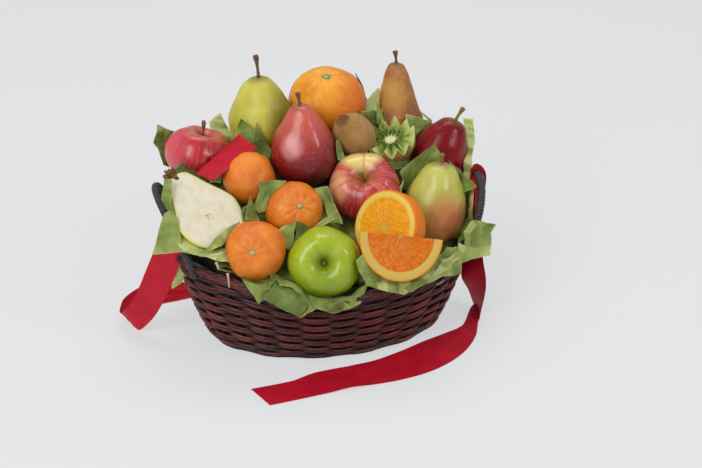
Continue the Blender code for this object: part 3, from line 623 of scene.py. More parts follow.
def basket():
    wall, floor, rim = woven_wall(), woven_floor(), rolled_rim()
    for piece, node, in ((wall, "basket_wall"), (floor, "basket_floor"), (rim, "basket_rim")):
        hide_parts(node)
        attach(piece, "root")
    for name, sign, apex in (("handle_left", -1, (0.175, 0.171)), ("handle_right", 1, (0.1685, 0.1555))):
        piece = rope_handle("rope_" + name, sign, apex)
        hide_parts(name)
        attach(piece, "root")


basket()

# --------------------------------------------------------------------- fruit
# kind, centre (mm), greatest radius (mm), stem axis, roll, slot
WHOLE = {
    "mandarin_front": ("citrus", (-84, -71, 128), 31.0, (-0.26, -0.885, 0.40), 0.3, "mandarin_peel"),
    "mandarin_mid": ("citrus", (-37, -28, 148.4), 29.9, (0.098, -0.834, 0.549), 0.9, "mandarin_peel"),
    "mandarin_plain": ("citrus", (-77, 11, 170), 28.6, (-0.39, 0.59, -0.71), 0.0, "mandarin_peel"),
    "orange_top": ("orange", (22.3, 95, 210), 43.2, (-0.06, -0.27, 0.96), 0.2, "orange_peel"),
    "apple_green": ("apple", (-16.5, -85.5, 113.6), 37.0, (-0.18, -0.85, 0.49), 0.4, "apple_green_skin"),
    "apple_blush": ("apple", (42.9, -2.6, 153.0), 37.8, (-0.15, -0.58, 0.79), 1.1, "apple_blush_skin"),
    "apple_red": ("apple", (-125.4, 47, 186.4), 35.0, (0.29, 0.06, 0.95), 0.7, "apple_red_skin"),
    "pear_blush": ("pear", (114.9, -17, 119), 34.2, (0.16, 0.10, 1.0), 0.0, "pear_blush_skin"),
    "pear_red": ("pear", (-16, 25, 184), 33.8, (-0.05, 0.12, 1.0), 0.5, "pear_red_skin"),
    "pear_dark": ("pear", (136.5, 41, 164.5), 31.5, (0.42, 0.01, 0.94), 0.0, "pear_dark_skin"),
    "pear_green": ("pear", (-51.8, 82, 201.6), 35.1, (-0.035, 0.03, 1.0), 0.0, "pear_green_skin"),
    "pear_bosc": ("pear", (101.0, 91, 189), 28.6, (-0.02, 0.06, 1.0), 0.0, "pear_bosc_skin"),
    "kiwi_whole": ("kiwi", (40, 34, 199), 21.3, (-0.54, -0.23, 0.81), 0.0, "kiwi_whole_skin"),
}
PEAR = {"pear_blush": (60.5, 0.40, 0.44), "pear_red": (57, 0.40, 0.46), "pear_dark": (42, 0.50, 0.46),
        "pear_green": (51.5, 0.38, 0.42), "pear_bosc": (64, 0.28, 0.36)}
STEM = {"apple_blush": (19, 2.0, (-0.16, 0.10, 0.10)), "apple_red": (18, 1.8, (-0.20, 0.05, 0.10)),
        "apple_green": (3, 1.6, (0.0, 0.0, 0.0)),
        "pear_blush": (9.5, 2.6, (-0.10, 0.0, 0.1)), "pear_red": (13, 2.3, (-0.10, 0.0, 0.0)),
        "pear_dark": (14, 2.2, (0.16, 0.0, 0.15)), "pear_green": (25, 2.3, (-0.06, 0.0, 0.0)),
        "pear_bosc": (14, 2.2, (-0.06, 0.0, 0.0))}


# depth below the top and radius (mm) of each pear's upper part
SHOULDER = {
    "pear_green": [(0.4, 4.5), (1.6, 8.6), (4.6, 13.4), (13, 20.2), (22, 26.0), (33, 31.4), (43, 34.6)],
    "pear_red": [(0.4, 4.2), (1.4, 7.6), (4.2, 11.4), (9.5, 15.4), (20, 21.8), (31, 28.0), (43, 32.4)],
    "pear_dark": [(0.4, 4.6), (1.6, 8.8), (5, 14.0), (12, 19.4), (22, 25.2), (32, 29.0)],
    "pear_bosc": [(0.3, 3.6), (1.2, 6.6), (3.5, 9.2), (11, 12.4), (22, 15.4), (32, 18.4), (42, 20.8), (52, 23.9)],
    "pear_blush": [(0.4, 4.8), (1.5, 9.4), (5.0, 15.2), (15.6, 22.4), (26.0, 27.8), (36.5, 31.6), (48, 33.8)],
    "pear_half": [(0.3, 4.4), (1.4, 8.4), (4.5, 12.6), (12, 17.0), (22, 21.6), (33, 27.6), (43, 32.6)],
}


def pear_points(name, radius, top):
    low = 0.93 * radius
    upper = [(r, top - d) for d, r in SHOULDER[name]]
    return [(0.0, top - 0.2)] + upper + [(radius, -0.02 * radius), (0.93 * radius, -0.46 * low),
            (0.70 * radius, -0.81 * low), (0.38 * radius, -low), (0.14 * radius, -low + 0.04 * radius),
            (0.0, -low + 0.09 * radius)]


def stem_finish(name, low, high):
    m = Finish(name, Roughness=0.75, Specular_IOR_Level=0.25)
    along, ca, sa = m.value("along"), m.value("ca"), m.value("sa")
    grain = m.noise(1.0, 4.0, 0.6, m.join(m.math("MULTIPLY", along, 220.0), m.math("MULTIPLY", ca, 2.2),
                                          m.math("MULTIPLY", sa, 2.2)))
    m.set(Base_Color=m.mix(m.span(grain, 0.35, 0.65), low, high), Normal=m.bump(grain, 0.0006, 0.8))
    return m


STEM_BROWN = stem_finish("stem_brown", s(74, 50, 38), s(140, 102, 76))
STEM_OLIVE = stem_finish("stem_olive", s(92, 72, 38), s(156, 130, 72))
STEM_GREEN = stem_finish("stem_green", s(70, 84, 26), s(140, 140, 60))


def add_stem(shell, base, length, radius, lean, mat, flare=0.35):
    u = np.linspace(0, 1, 12)
    path = np.stack([lean[0] * length * u * u, lean[1] * length * u * u, base + length * u + lean[2] * length * u * u], -1)
    r = radius * (1.05 - 0.38 * np.sin(math.pi * np.minimum(u * 1.15, 1)) + flare * u ** 4)
    r = r * (1 + 0.10 * lattice(path * 700, 4))
    r[-1] *= 0.72
    tube(shell, path, r, 12, ref=(1, 0.2, 0.1), mat=mat)


def dots(m, size, low, high, amount=0.5):
    """Scattered round specks: 1 in a speck, 0 between them."""
    scale = 1.0 / size
    near = m.span(m.cells(scale), high, low)
    pick = m.xyz(m.cells(scale, out="Color"))[0]
    return m.math("MULTIPLY", near, m.span(pick, 1 - amount - 0.05, 1 - amount + 0.05))


def meridian(m, turns, run):
    """Noise coordinates that run from pole to pole."""
    x, y, z = m.xyz()
    flat = m.vec("NORMALIZE", m.join(x, y, 0.0))
    fx, fy, _ = m.xyz(flat)
    return m.join(m.math("MULTIPLY", fx, turns), m.math("MULTIPLY", fy, turns), m.math("MULTIPLY", z, run))


def citrus_skin(name, base, deep, light, pore, warm=None, toward=None):
    m = Finish(name, Roughness=0.40, Specular_IOR_Level=0.42)
    m.set(Subsurface_Weight=0.12, Subsurface_Radius=(0.004, 0.0015, 0.0005), Subsurface_Scale=0.6)
    big = m.noise(38.0, 2.0)
    pits = m.span(m.cells(1.0 / pore), 0.0, 0.55)
    c = m.mix(m.span(big, 0.3, 0.7), base, deep)
    c = m.mix(m.span(m.noise(90.0, 3.0), 0.45, 0.75, 0.0, 0.5), c, light)
    if warm:
        c = m.mix(m.span(m.facing(toward), -0.2, 0.9), c, warm)
    c = m.mix(m.math("MULTIPLY", m.math("SUBTRACT", 1.0, pits), 0.45), c, deep)
    c = m.mix(m.span(m.value("crown"), 0.25, 1.0, 0.0, 0.75), c, s(200, 128, 40))
    m.set(Base_Color=c, Roughness=m.span(m.noise(300.0, 2.0), 0.3, 0.7, 0.34, 0.48),
          Normal=m.bump(pits, 0.00035, 0.75, m.bump(m.noise(160.0, 2.0), 0.0006, 0.5)))
    return m


def calyx(shell, top, radius, mat):
    n, rows = 40, 8
    th = np.arange(n) / n * TAU
    u = np.linspace(0.0, 1.0, rows)[1:, None]
    star = 0.62 + 0.38 * np.abs(np.cos(2.5 * th)) ** 1.5
    r = radius * u * (1 - (1 - star) * u ** 1.5)
    z = top + 0.0008 + 0.0011 * np.exp(-(u / 0.34) ** 2) - 0.0006 * np.exp(-(u / 0.12) ** 2) + 0 * r \
        + 0.0004 * np.sin(3 * th) * u - 0.0006 * u ** 3
    ring = np.stack([r * np.cos(th), r * np.sin(th), z], -1).reshape(-1, 3)
    under = ring.reshape(rows - 1, n, 3)[-1] - np.array([0, 0, 0.0012])
    verts = np.concatenate([[[0, 0, top + 0.0016]], ring, under, [[0, 0, top - 0.0008]]])
    faces = [f[::-1] for f in grid_faces(rows, n, True, 1)]
    faces += [(0, 1 + k, 1 + (k + 1) % n) for k in range(n)]
    last, a = len(verts) - 1, 1 + (rows - 1) * n
    faces += [(last, a + (k + 1) % n, a + k) for k in range(n)]
    edge = np.concatenate([[0.0], np.repeat(u.ravel(), n), np.ones(n), [1.0]])
    shell.add(verts, faces, mat, edge=edge)


def calyx_finish(name, green, pale, core):
    m = Finish(name, Roughness=0.7)
    e = m.value("edge")
    c = m.mix(m.span(e, 0.10, 0.32), core, pale)
    c = m.mix(m.span(e, 0.35, 0.7), c, green)
    m.set(Base_Color=m.mix(m.span(m.noise(900.0, 2.0), 0.4, 0.7, 0.0, 0.4), c, pale), Normal=m.bump(m.noise(1200.0, 2.0), 0.0003, 0.6))
    return m


CALYX = calyx_finish("calyx_mandarin", s(124, 122, 52), s(206, 204, 140), s(70, 62, 26))
CALYX_GREEN = calyx_finish("calyx_orange", s(58, 122, 60), s(150, 190, 130), s(60, 70, 40))


def apple_skin(name, local):
    m = Finish(name, Roughness=0.26, Specular_IOR_Level=0.5)
    m.set(Coat_Weight=0.15, Coat_Roughness=0.14, Subsurface_Weight=0.05, Subsurface_Radius=(0.004, 0.002, 0.001),
          Subsurface_Scale=0.5)
    x, y, z = m.xyz()
    top = m.span(z, 0.0175, 0.0245)
    streak = m.noise(1.0, 4.0, 0.65, meridian(m, 7.5, 26.0), 0.2)
    broad = m.noise(1.0, 2.0, 0.5, meridian(m, 1.9, 18.0))
    thin = m.noise(1.0, 5.0, 0.75, meridian(m, 17.0, 42.0), 0.3)
    if name == "skin_apple_green":
        c = m.mix(m.span(broad, 0.3, 0.7), s(146, 168, 14), s(168, 184, 38))
        # painted shade: the side facing down and the right side are darkened
        c = m.mix(m.span(m.facing(local(-UP * 0.95 + BACK * 0.1)), 0.05, 0.95), c, s(120, 142, 12))
        c = m.mix(m.span(m.facing(local(RIGHT)), 0.1, 0.95, 0.0, 0.6), c, s(130, 150, 16))
        c = m.mix(m.span(streak, 0.5, 0.8, 0.0, 0.25), c, s(172, 188, 60))
        c = m.mix(m.value("crown"), c, s(58, 78, 10))
        c = m.mix(m.math("MULTIPLY", dots(m, 0.0042, 0.05, 0.11, 0.6), 0.6), c, s(206, 222, 130))
    elif name == "skin_apple_red":
        c = m.mix(m.span(streak, 0.34, 0.60), s(198, 46, 54), s(152, 8, 24))
        c = m.mix(m.span(broad, 0.4, 0.75, 0.0, 0.55), c, s(172, 22, 40))
        # painted highlight: the left side is lightened to pale pink
        c = m.mix(m.math("MULTIPLY", m.span(m.facing(local(-RIGHT * 0.85 + BACK * 0.40 + UP * 0.1)), 0.45, 1.0), 0.65), c, s(230, 92, 102))
        c = m.mix(m.span(thin, 0.50, 0.72, 0.0, 0.50), c, s(232, 128, 126))
        c = m.mix(m.span(thin, 0.46, 0.30, 0.0, 0.45), c, s(150, 10, 26))
        crown = m.span(z, 0.0212, 0.0250)
        c = m.mix(m.math("MULTIPLY", crown, m.span(streak, 0.36, 0.66, 0.0, 0.75)), c, s(208, 140, 100))
        c = m.mix(m.math("MULTIPLY", dots(m, 0.0036, 0.05, 0.12, 0.5), 0.5), c, s(236, 190, 160))
    else:
        c = m.mix(m.span(streak, 0.36, 0.60), s(214, 104, 92), s(176, 24, 46))
        c = m.mix(m.span(broad, 0.42, 0.72, 0.0, 0.85), c, s(150, 14, 34))
        # painted shade: the lower front side is darkened to deep red
        c = m.mix(m.span(m.facing(local(-UP * 0.8 + BACK * 0.5)), 0.55, 0.95, 0.0, 0.7), c, s(140, 14, 30))
        c = m.mix(m.span(thin, 0.50, 0.70, 0.0, 0.60), c, s(230, 140, 118))
        c = m.mix(m.span(thin, 0.44, 0.28, 0.0, 0.45), c, s(146, 12, 32))
        torn = m.span(m.noise(1.0, 4.0, 0.6, meridian(m, 4.5, 30.0)), 0.28, 0.50, 0.35, 1.0)
        warm = m.span(m.facing(local(-RIGHT * 0.84 + BACK * 0.52 + UP * 0.02)), 0.80, 0.98)
        c = m.mix(m.math("MULTIPLY", m.math("MULTIPLY", warm, torn), 0.85), c, s(232, 172, 122))
        cream = m.span(m.facing(local(UP * 0.96 + BACK * 0.20 - RIGHT * 0.12)), 0.70, 0.90)
        c = m.mix(m.math("MULTIPLY", m.math("MULTIPLY", cream, torn), 0.95), c, s(226, 204, 124))
        c = m.mix(m.math("MULTIPLY", m.value("crown"), 0.8), c, s(150, 128, 50))
        c = m.mix(m.math("MULTIPLY", dots(m, 0.0034, 0.05, 0.11, 0.5), 0.5), c, s(240, 214, 170))
    m.set(Base_Color=c, Normal=m.bump(m.noise(240.0, 2.0), 0.00025, 0.35))
    m.set(Roughness=m.span(streak, 0.3, 0.7, 0.24, 0.34))
    return m


def pear_skin(name, local):
    m = Finish(name, Roughness=0.34, Specular_IOR_Level=0.5)
    m.set(Subsurface_Weight=0.08, Subsurface_Radius=(0.004, 0.002, 0.001), Subsurface_Scale=0.5)
    x, y, z = m.xyz()
    mottle = m.noise(240.0, 4.0, 0.65)
    wide = m.noise(34.0, 3.0)
    line = m.noise(1.0, 4.0, 0.6, meridian(m, 6.0, 14.0), 0.3)
    speck = dots(m, 0.0022, 0.08, 0.20, 0.7)
    bumps = m.bump(m.noise(110.0, 2.0), 0.0007, 0.45, m.bump(mottle, 0.0003, 0.4))
    if name == "skin_pear_green":
        c = m.mix(m.span(wide, 0.3, 0.7), s(190, 184, 62), s(208, 200, 92))
        # painted shade: the right side is darkened to olive
        c = m.mix(m.span(m.facing(local(RIGHT * 0.95 + BACK * 0.2)), 0.20, 0.85), c, s(120, 116, 26))
        c = m.mix(m.span(m.facing(local(-RIGHT * 0.9 + BACK * 0.3)), 0.55, 1.0, 0.0, 0.6), c, s(176, 176, 40))
        c = m.mix(m.span(z, 0.046, 0.056, 0.0, 0.5), c, s(150, 140, 44))
        c = m.mix(m.math("MULTIPLY", speck, 0.45), c, s(146, 144, 60))
        m.set(Roughness=0.42)
    elif name == "skin_pear_red":
        c = m.mix(m.span(z, 0.000, 0.050), s(136, 12, 22), s(196, 88, 72))
        c = m.mix(m.math("MULTIPLY", m.span(line, 0.46, 0.80, 0.0, 0.35), m.span(z, 0.0, 0.03)), c, s(196, 92, 82))
        # painted shade: below the middle the pear is darkened to deep wine, and its right side is darkened too
        c = m.mix(m.span(z, 0.014, -0.022), c, s(66, 3, 9))
        c = m.mix(m.span(m.facing(local(RIGHT * 0.95)), 0.3, 1.0, 0.0, 0.5), c, s(104, 12, 20))
        c = m.mix(m.math("MULTIPLY", m.span(mottle, 0.50, 0.70), m.span(z, -0.012, 0.02, 0.0, 0.30)), c, s(214, 122, 112))
        # painted highlight: a pale soft patch on the left front where the big softbox reflects
        painted_highlight_spot = m.span(m.facing(local(-RIGHT * 0.34 + UP * 0.16 + BACK * 0.92)), 0.90, 0.995, 0.0, 0.50)
        c = m.mix(painted_highlight_spot, c, s(232, 158, 156))
        c = m.mix(m.math("MULTIPLY", speck, 0.38), c, s(222, 146, 130))
        m.set(Roughness=0.30, Coat_Weight=0.34, Coat_Roughness=0.20, Specular_IOR_Level=0.38)
    elif name == "skin_pear_dark":
        c = m.mix(m.span(m.math("ADD", m.math("MULTIPLY", line, 0.5), m.math("MULTIPLY", wide, 0.5)), 0.35, 0.65), s(110, 0, 8), s(140, 0, 14))
        # painted light: the upper left side, toward the key light, is lightened to greyish pink
        c = m.mix(m.span(m.facing(local(-RIGHT * 0.85 + UP * 0.35)), 0.35, 0.95, 0.0, 0.45), c, s(126, 48, 56))
        c = m.mix(m.math("MULTIPLY", speck, 0.30), c, s(176, 96, 96))
        m.set(Roughness=0.24, Coat_Weight=0.08, Coat_Roughness=0.14, Specular_IOR_Level=0.26)
        bumps = m.bump(m.noise(330.0, 3.0), 0.0008, 0.55)
    elif name == "skin_pear_bosc":
        russet = m.span(m.math("ADD", m.math("MULTIPLY", m.noise(60.0, 4.0, 0.6), 0.7), m.math("MULTIPLY", mottle, 0.4)), 0.35, 0.75)
        c = m.mix(russet, s(188, 128, 62), s(152, 92, 44))
        band = m.math("MULTIPLY", m.span(z, 0.016, 0.026), m.span(z, 0.054, 0.042))
        band = m.math("MULTIPLY", band, m.span(m.math("ADD", m.facing(local(-RIGHT * 0.75 + BACK * 0.65)),
                                                      m.math("MULTIPLY", wide, 0.35)), 0.35, 0.75))
        c = m.mix(m.math("MULTIPLY", band, 0.85), c, s(196, 148, 66))
        # painted shade: the right side is darkened
        c = m.mix(m.span(m.facing(local(RIGHT * 0.95 + BACK * 0.2)), 0.35, 0.95, 0.0, 0.65), c, s(128, 78, 44))
        c = m.mix(m.math("MULTIPLY", speck, 0.35), c, s(214, 170, 110))
        m.set(Roughness=0.58)
        bumps = m.bump(m.noise(420.0, 3.0, 0.7), 0.0004, 0.7)
    else:
        c = m.mix(m.span(wide, 0.3, 0.7), s(178, 180, 78), s(198, 194, 98))
        blush = m.span(m.facing(local(RIGHT * 0.42 + BACK * 0.80 - UP * 0.36)), 0.42, 0.92)
        blush = m.math("MULTIPLY", blush, m.span(m.noise(60.0, 4.0, 0.7), 0.20, 0.60, 0.55, 1.0))
        c = m.mix(m.math("MULTIPLY", blush, 0.92), c, s(190, 96, 58))
        # painted shade: the right side and the lower part are darkened
        c = m.mix(m.span(m.facing(local(RIGHT * 0.98)), 0.62, 1.0, 0.0, 0.7), c, s(150, 110, 50))
        c = m.mix(m.span(z, -0.010, -0.028, 0.0, 0.70), c, s(146, 104, 34))
        c = m.mix(m.math("MULTIPLY", m.span(line, 0.52, 0.74), m.span(z, 0.05, 0.0, 0.25, 0.55)), c, s(196, 128, 70))
        c = m.mix(m.math("MULTIPLY", speck, 0.5), c, s(206, 202, 130))
        m.set(Roughness=0.30, Coat_Weight=0.15, Coat_Roughness=0.2)
    c = m.mix(m.math("MULTIPLY", m.value("crown"), 0.6), c, s(120, 90, 50))
    m.set(Base_Color=c, Normal=bumps)
    return m


def kiwi_skin(name="skin_kiwi"):
    m = Finish(name, Roughness=0.85, Specular_IOR_Level=0.2)
    fuzz = m.noise(900.0, 3.0, 0.7)
    wide = m.noise(60.0, 3.0)
    c = m.mix(m.span(wide, 0.3, 0.7), s(160, 118, 64), s(184, 144, 90))
    c = m.mix(m.span(fuzz, 0.42, 0.66, 0.0, 0.6), c, s(112, 78, 38))
    c = m.mix(m.math("MULTIPLY", m.value("crown"), 0.8), c, s(86, 54, 30))
    m.set(Base_Color=c, Normal=m.bump(fuzz, 0.0007, 0.9))
    m.set(Sheen_Weight=0.35, Sheen_Roughness=0.5, Sheen_Tint=s(220, 190, 150))
    return m


KIWI_SKIN = kiwi_skin()


def hairs(shell, verts, centre, count, length, mat, seed):
    """Short soft hairs standing on a fuzzy skin."""
    rng = np.random.default_rng(seed)
    pick = rng.choice(len(verts), count)
    base = verts[pick] + rng.normal(0, 0.0005, (count, 3))
    out = unit(base - centre + rng.normal(0, 0.004, (count, 3)))
    lean = unit(np.cross(out, rng.normal(0, 1, (count, 3))))
    tip = base + unit(out + lean * 0.8) * length * rng.uniform(0.5, 1.2, (count, 1))
    w = np.cross(out, lean) * 0.00009
    v = np.stack([base - w, base + w, tip, base - out * 0.0003], 1).reshape(-1, 3)
    faces = []
    for i in range(count):
        o = 4 * i
        faces += [(o, o + 1, o + 2), (o + 1, o + 3, o + 2), (o + 3, o, o + 2), (o, o + 3, o + 1)]
    shell.add(v, faces, mat)


def whole_fruit(name):
    kind, centre, radius, axis, roll, slot = WHOLE[name]
    matrix = seat(centre, axis, roll)
    back = matrix.to_3x3().transposed()
    R = radius * MM
    seed = sum(map(ord, name))
    shell = Shell()

    def local(v):
        return (back @ Vector(v)).normalized()

    if kind in ("citrus", "orange"):
        rows = 84
        phi = np.linspace(0, math.pi, rows)
        flat = 0.90 if kind == "citrus" else 0.97
        dimple = 1 - 0.09 * np.exp(-(phi / 0.32) ** 2) - 0.04 * np.exp(-((math.pi - phi) / 0.30) ** 2)
        ribs = 9 if kind == "citrus" else 12
        depth = 0.050 if kind == "citrus" else 0.014

        def shape(th, t, rr, zz):
            p = t * math.pi
            wobble = 0.55 * np.sin(2 * th + seed) + 0.3 * np.sin(3 * th + 1.7 * seed)
            ridge = np.abs(np.sin((ribs * th + wobble) / 2)) ** 0.6
            reach = 0.5 + 0.5 * np.sin(ribs * 0.37 * th + seed) ** 2
            groove = depth * (1 - ridge) * np.exp(-((p - 0.40) / (0.26 * reach + 0.10)) ** 2)
            lump = 1 + 0.010 * np.cos(3 * th + roll) * np.sin(p)
            f = (1 - groove) * lump
            return rr * f, zz * f

        verts = turned(shell, R * np.sin(phi), R * flat * np.cos(phi) * dimple, 132, shape, (0.0009, 0.016, seed),
                       crown=np.concatenate([[1.0], np.repeat(np.exp(-(phi[1:-1] / 0.20) ** 2), 132), [0.0]]))
        if kind == "orange":
            skin = citrus_skin("skin_" + name, s(236, 162, 24), s(218, 128, 12), s(244, 180, 60), 0.0017,
                               s(220, 112, 26), local(RIGHT * 0.9 - UP * 0.2))
        else:
            skin = citrus_skin("skin_" + name, s(231, 135, 35), s(213, 104, 19), s(240, 158, 66), 0.0014)
        top = verts[0][2]
        mats = [skin, CALYX_GREEN if kind == "orange" else CALYX]
        if name != "mandarin_plain":
            calyx(shell, top, 0.0052 if kind == "orange" else 0.0036, 1)
    elif kind == "apple":
        rows = 92
        phi = math.pi * np.linspace(0, 1, rows)
        deep, wide = {"apple_green": (0.62, 0.36), "apple_red": (0.46, 0.34), "apple_blush": (0.55, 0.37)}[name]
        rho = R * (1 - deep * np.exp(-(phi / wide) ** 2) - 0.24 * np.exp(-((math.pi - phi) / 0.36) ** 2))
        tall = 0.85 if name == "apple_red" else 0.95
        r, z = rho * np.sin(phi) * (1 + 0.05 * np.cos(phi)) / 1.002, rho * np.cos(phi) * tall

        def shape(th, t, rr, zz):
            p = t * math.pi
            lobe = 0.018 * np.cos(5 * th + roll) * np.sin(p) ** 1.2
            top_lobe = 0.022 * np.cos(5 * th + roll) * np.exp(-((p - 0.75) / 0.30) ** 2)
            low_lobe = 0.050 * np.cos(5 * th + roll) * np.exp(-((p - 2.55) / 0.30) ** 2)
            return rr * (1 + lobe), zz * (1 + top_lobe + low_lobe)

        verts = turned(shell, r, z, 132, shape, (0.0009, 0.024, seed),
                       crown=np.concatenate([[1.0], np.repeat(np.exp(-(phi[1:-1] / 0.30) ** 2), 132), [0.3]]))
        skin = apple_skin("skin_" + name, local)
        mats = [skin, STEM_OLIVE if name != "apple_red" else STEM_BROWN]
        length, rad, lean = STEM[name]
        base = verts[0][2] - 0.001
        add_stem(shell, base, (length * MM + 0.50 * R - base) if length > 5 else 0.006, rad * MM, lean, 1)
        # dry flower remains in the lower hollow
        low = verts[-1][2]
        rng = np.random.default_rng(seed)
        for k in range(7):
            w = TAU * k / 7 + rng.uniform(-0.2, 0.2)
            path = np.array([[0.001 * math.cos(w), 0.001 * math.sin(w), low + 0.002],
                             [0.0030 * math.cos(w), 0.0030 * math.sin(w), low - 0.0025],
                             [0.0018 * math.cos(w + .4), 0.0018 * math.sin(w + .4), low - 0.0052]])
            tube(shell, spline(path, 4), np.linspace(0.0008, 0.0003, 9), 5, ref=(0.1, 0.2, 1), mat=1)
    elif kind == "pear":
        high, neck, start = PEAR[name]
        pts = spline([(p[0], 0, p[1]) for p in pear_points(name, radius, high)], 8) * MM
        r, z = np.maximum(pts[:, 0], 0), pts[:, 2]
        r[0] = r[-1] = 0.0
        tall = (z - z.min()) / (z.max() - z.min())
        bend = {"pear_red": 0.06, "pear_green": -0.05, "pear_bosc": 0.05, "pear_dark": 0.05, "pear_blush": -0.03}[name]

        def shape(th, t, rr, zz):
            return rr * (1 + 0.010 * np.cos(2 * th + roll) + 0.008 * np.cos(3 * th + seed)), zz + 0 * rr

        verts = turned(shell, r, z, 120, shape, (0.0011, 0.022, seed),
                       crown=np.concatenate([[1.0], np.repeat(np.exp(-((z.max() - z[1:-1]) / 0.0028) ** 2), 120), [0.6]]))
        skin = pear_skin("skin_" + name, local)
        length, rad, lean = STEM[name]
        mats = [skin, {"pear_dark": STEM_OLIVE, "pear_blush": STEM_OLIVE}.get(name, STEM_BROWN)]
        add_stem(shell, verts[0][2] - 0.0015, length * MM + 0.0012, rad * MM, lean, 1, 0.5)
        low = verts[-1][2]
        for k in range(6):
            w = TAU * k / 6
            path = np.array([[0.001 * math.cos(w), 0.001 * math.sin(w), low + 0.0015],
                             [0.0034 * math.cos(w), 0.0034 * math.sin(w), low - 0.0012],
                             [0.0026 * math.cos(w + .3), 0.0026 * math.sin(w + .3), low - 0.0028]])
            tube(shell, spline(path, 4), np.linspace(0.0009, 0.0003, 9), 5, ref=(0.1, 0.2, 1), mat=1)
    else:
        rows = 60
        p = np.linspace(0, math.pi, rows)
        r, z = R * np.sin(p) ** 0.92, 0.0265 * np.cos(p)
        r[0] = r[-1] = 0

        def shape(th, t, rr, zz):
            a = t * math.pi
            scar = 0.0011 * np.exp(-((a - 0.27) / 0.07) ** 2) * (1 + 0.5 * np.sin(5 * th + 1))
            pit = -0.0016 * np.exp(-(a / 0.16) ** 2)
            return rr * (1 + 0.012 * np.cos(2 * th)), zz + scar + pit

        verts = turned(shell, r, z, 110, shape, (0.0006, 0.012, seed),
                       crown=np.concatenate([[1.0], np.repeat(np.clip(np.exp(-((p[1:-1] - 0.24) / 0.10) ** 2) + np.exp(-(p[1:-1] / 0.14) ** 2), 0, 1), 110), [0.5]]))
        hairs(shell, verts, np.zeros(3), 2600, 0.0011, 0, seed)
        mats = [KIWI_SKIN]
    obj = shell.build(name + "_fruit", mats, matrix=matrix)
    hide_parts(name)
    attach(obj, "root")
    return obj


for fruit in WHOLE:
    whole_fruit(fruit)


# ----------------------------------------------------------------- cut fruit
def basis(face, up):
    """Rotation with local +Z along face and local +Y along up."""
    z = Vector(face).normalized()
    y = Vector(up)
    y = (y - z * y.dot(z)).normalized()
    x = y.cross(z)
    return Matrix((x, y, z)).transposed()


def orange_finish(name, flesh, deep, vein, pith, rind, radius, ring, heart):
    """Solid orange: peel, pale pith and juicy segments by distance from the centre."""
    m = Finish(name, Roughness=0.38, Specular_IOR_Level=0.30)
    m.set(Subsurface_Weight=0.08, Subsurface_Radius=(0.004, 0.002, 0.001), Subsurface_Scale=0.5)
    x, y, z = m.xyz()
    rho = m.vec("LENGTH", m.p, out=1)
    flat = m.vec("LENGTH", m.join(x, y, 0.0), out=1)
    angle = m.math("ARCTAN2", y, x)
    wob = m.math("MULTIPLY", m.math("SUBTRACT", m.noise(70.0, 2.0), 0.5), 0.5)
    turns = m.math("MULTIPLY", m.math("ADD", angle, wob), 10 / TAU)
    saw = m.math("ABSOLUTE", m.math("SUBTRACT", m.math("FRACT", m.math("ADD", turns, 20.0)), 0.5))
    gap = m.math("MULTIPLY", m.math("SUBTRACT", 0.5, saw), flat)
    wall = m.span(gap, 0.0011, 0.0003)
    sacs = m.cells(1.0, m.join(m.math("MULTIPLY", angle, 9.0), m.math("MULTIPLY", flat, 210.0), m.math("MULTIPLY", z, 210.0)))
    fine = m.noise(1.0, 4.0, 0.6, m.join(m.math("MULTIPLY", angle, 16.0), m.math("MULTIPLY", flat, 120.0), m.math("MULTIPLY", z, 200.0)))
    juice = m.mix(m.span(sacs, 0.15, 0.75), flesh, deep)
    juice = m.mix(m.span(fine, 0.56, 0.80, 0.0, 0.30), juice, vein)
    juice = m.mix(m.math("MULTIPLY", wall, 0.28), juice, vein)
    juice = m.mix(m.span(flat, heart * 1.7, heart * 0.5), juice, pith)
    rag = m.math("MULTIPLY", m.math("SUBTRACT", m.noise(260.0, 3.0), 0.5), 0.0022)
    edge = m.math("ADD", rho, rag)
    c = m.mix(m.span(edge, radius * ring - 0.0007, radius * ring + 0.0005), juice, pith)
    c = m.mix(m.span(rho, radius * 0.945, radius * 0.985), c, rind)
    pits = m.span(m.cells(1 / 0.0016), 0.0, 0.55)
    skin = m.span(rho, radius * 0.985, radius * 0.994)
    c = m.mix(m.math("MULTIPLY", skin, m.math("SUBTRACT", 1.0, pits)), c, s(222, 100, 16))
    wet = m.span(edge, radius * ring - 0.001, radius * ring)
    height = m.math("MULTIPLY", m.math("SUBTRACT", 1.0, wet), m.math("SUBTRACT", 1.0, sacs))
    height = m.math("ADD", height, m.math("MULTIPLY", skin, m.math("MULTIPLY", pits, 0.35)))
    m.set(Base_Color=c, Roughness=m.span(wet, 0.0, 1.0, 0.34, 0.60), Normal=m.bump(height, 0.0010, 0.6))
    return m


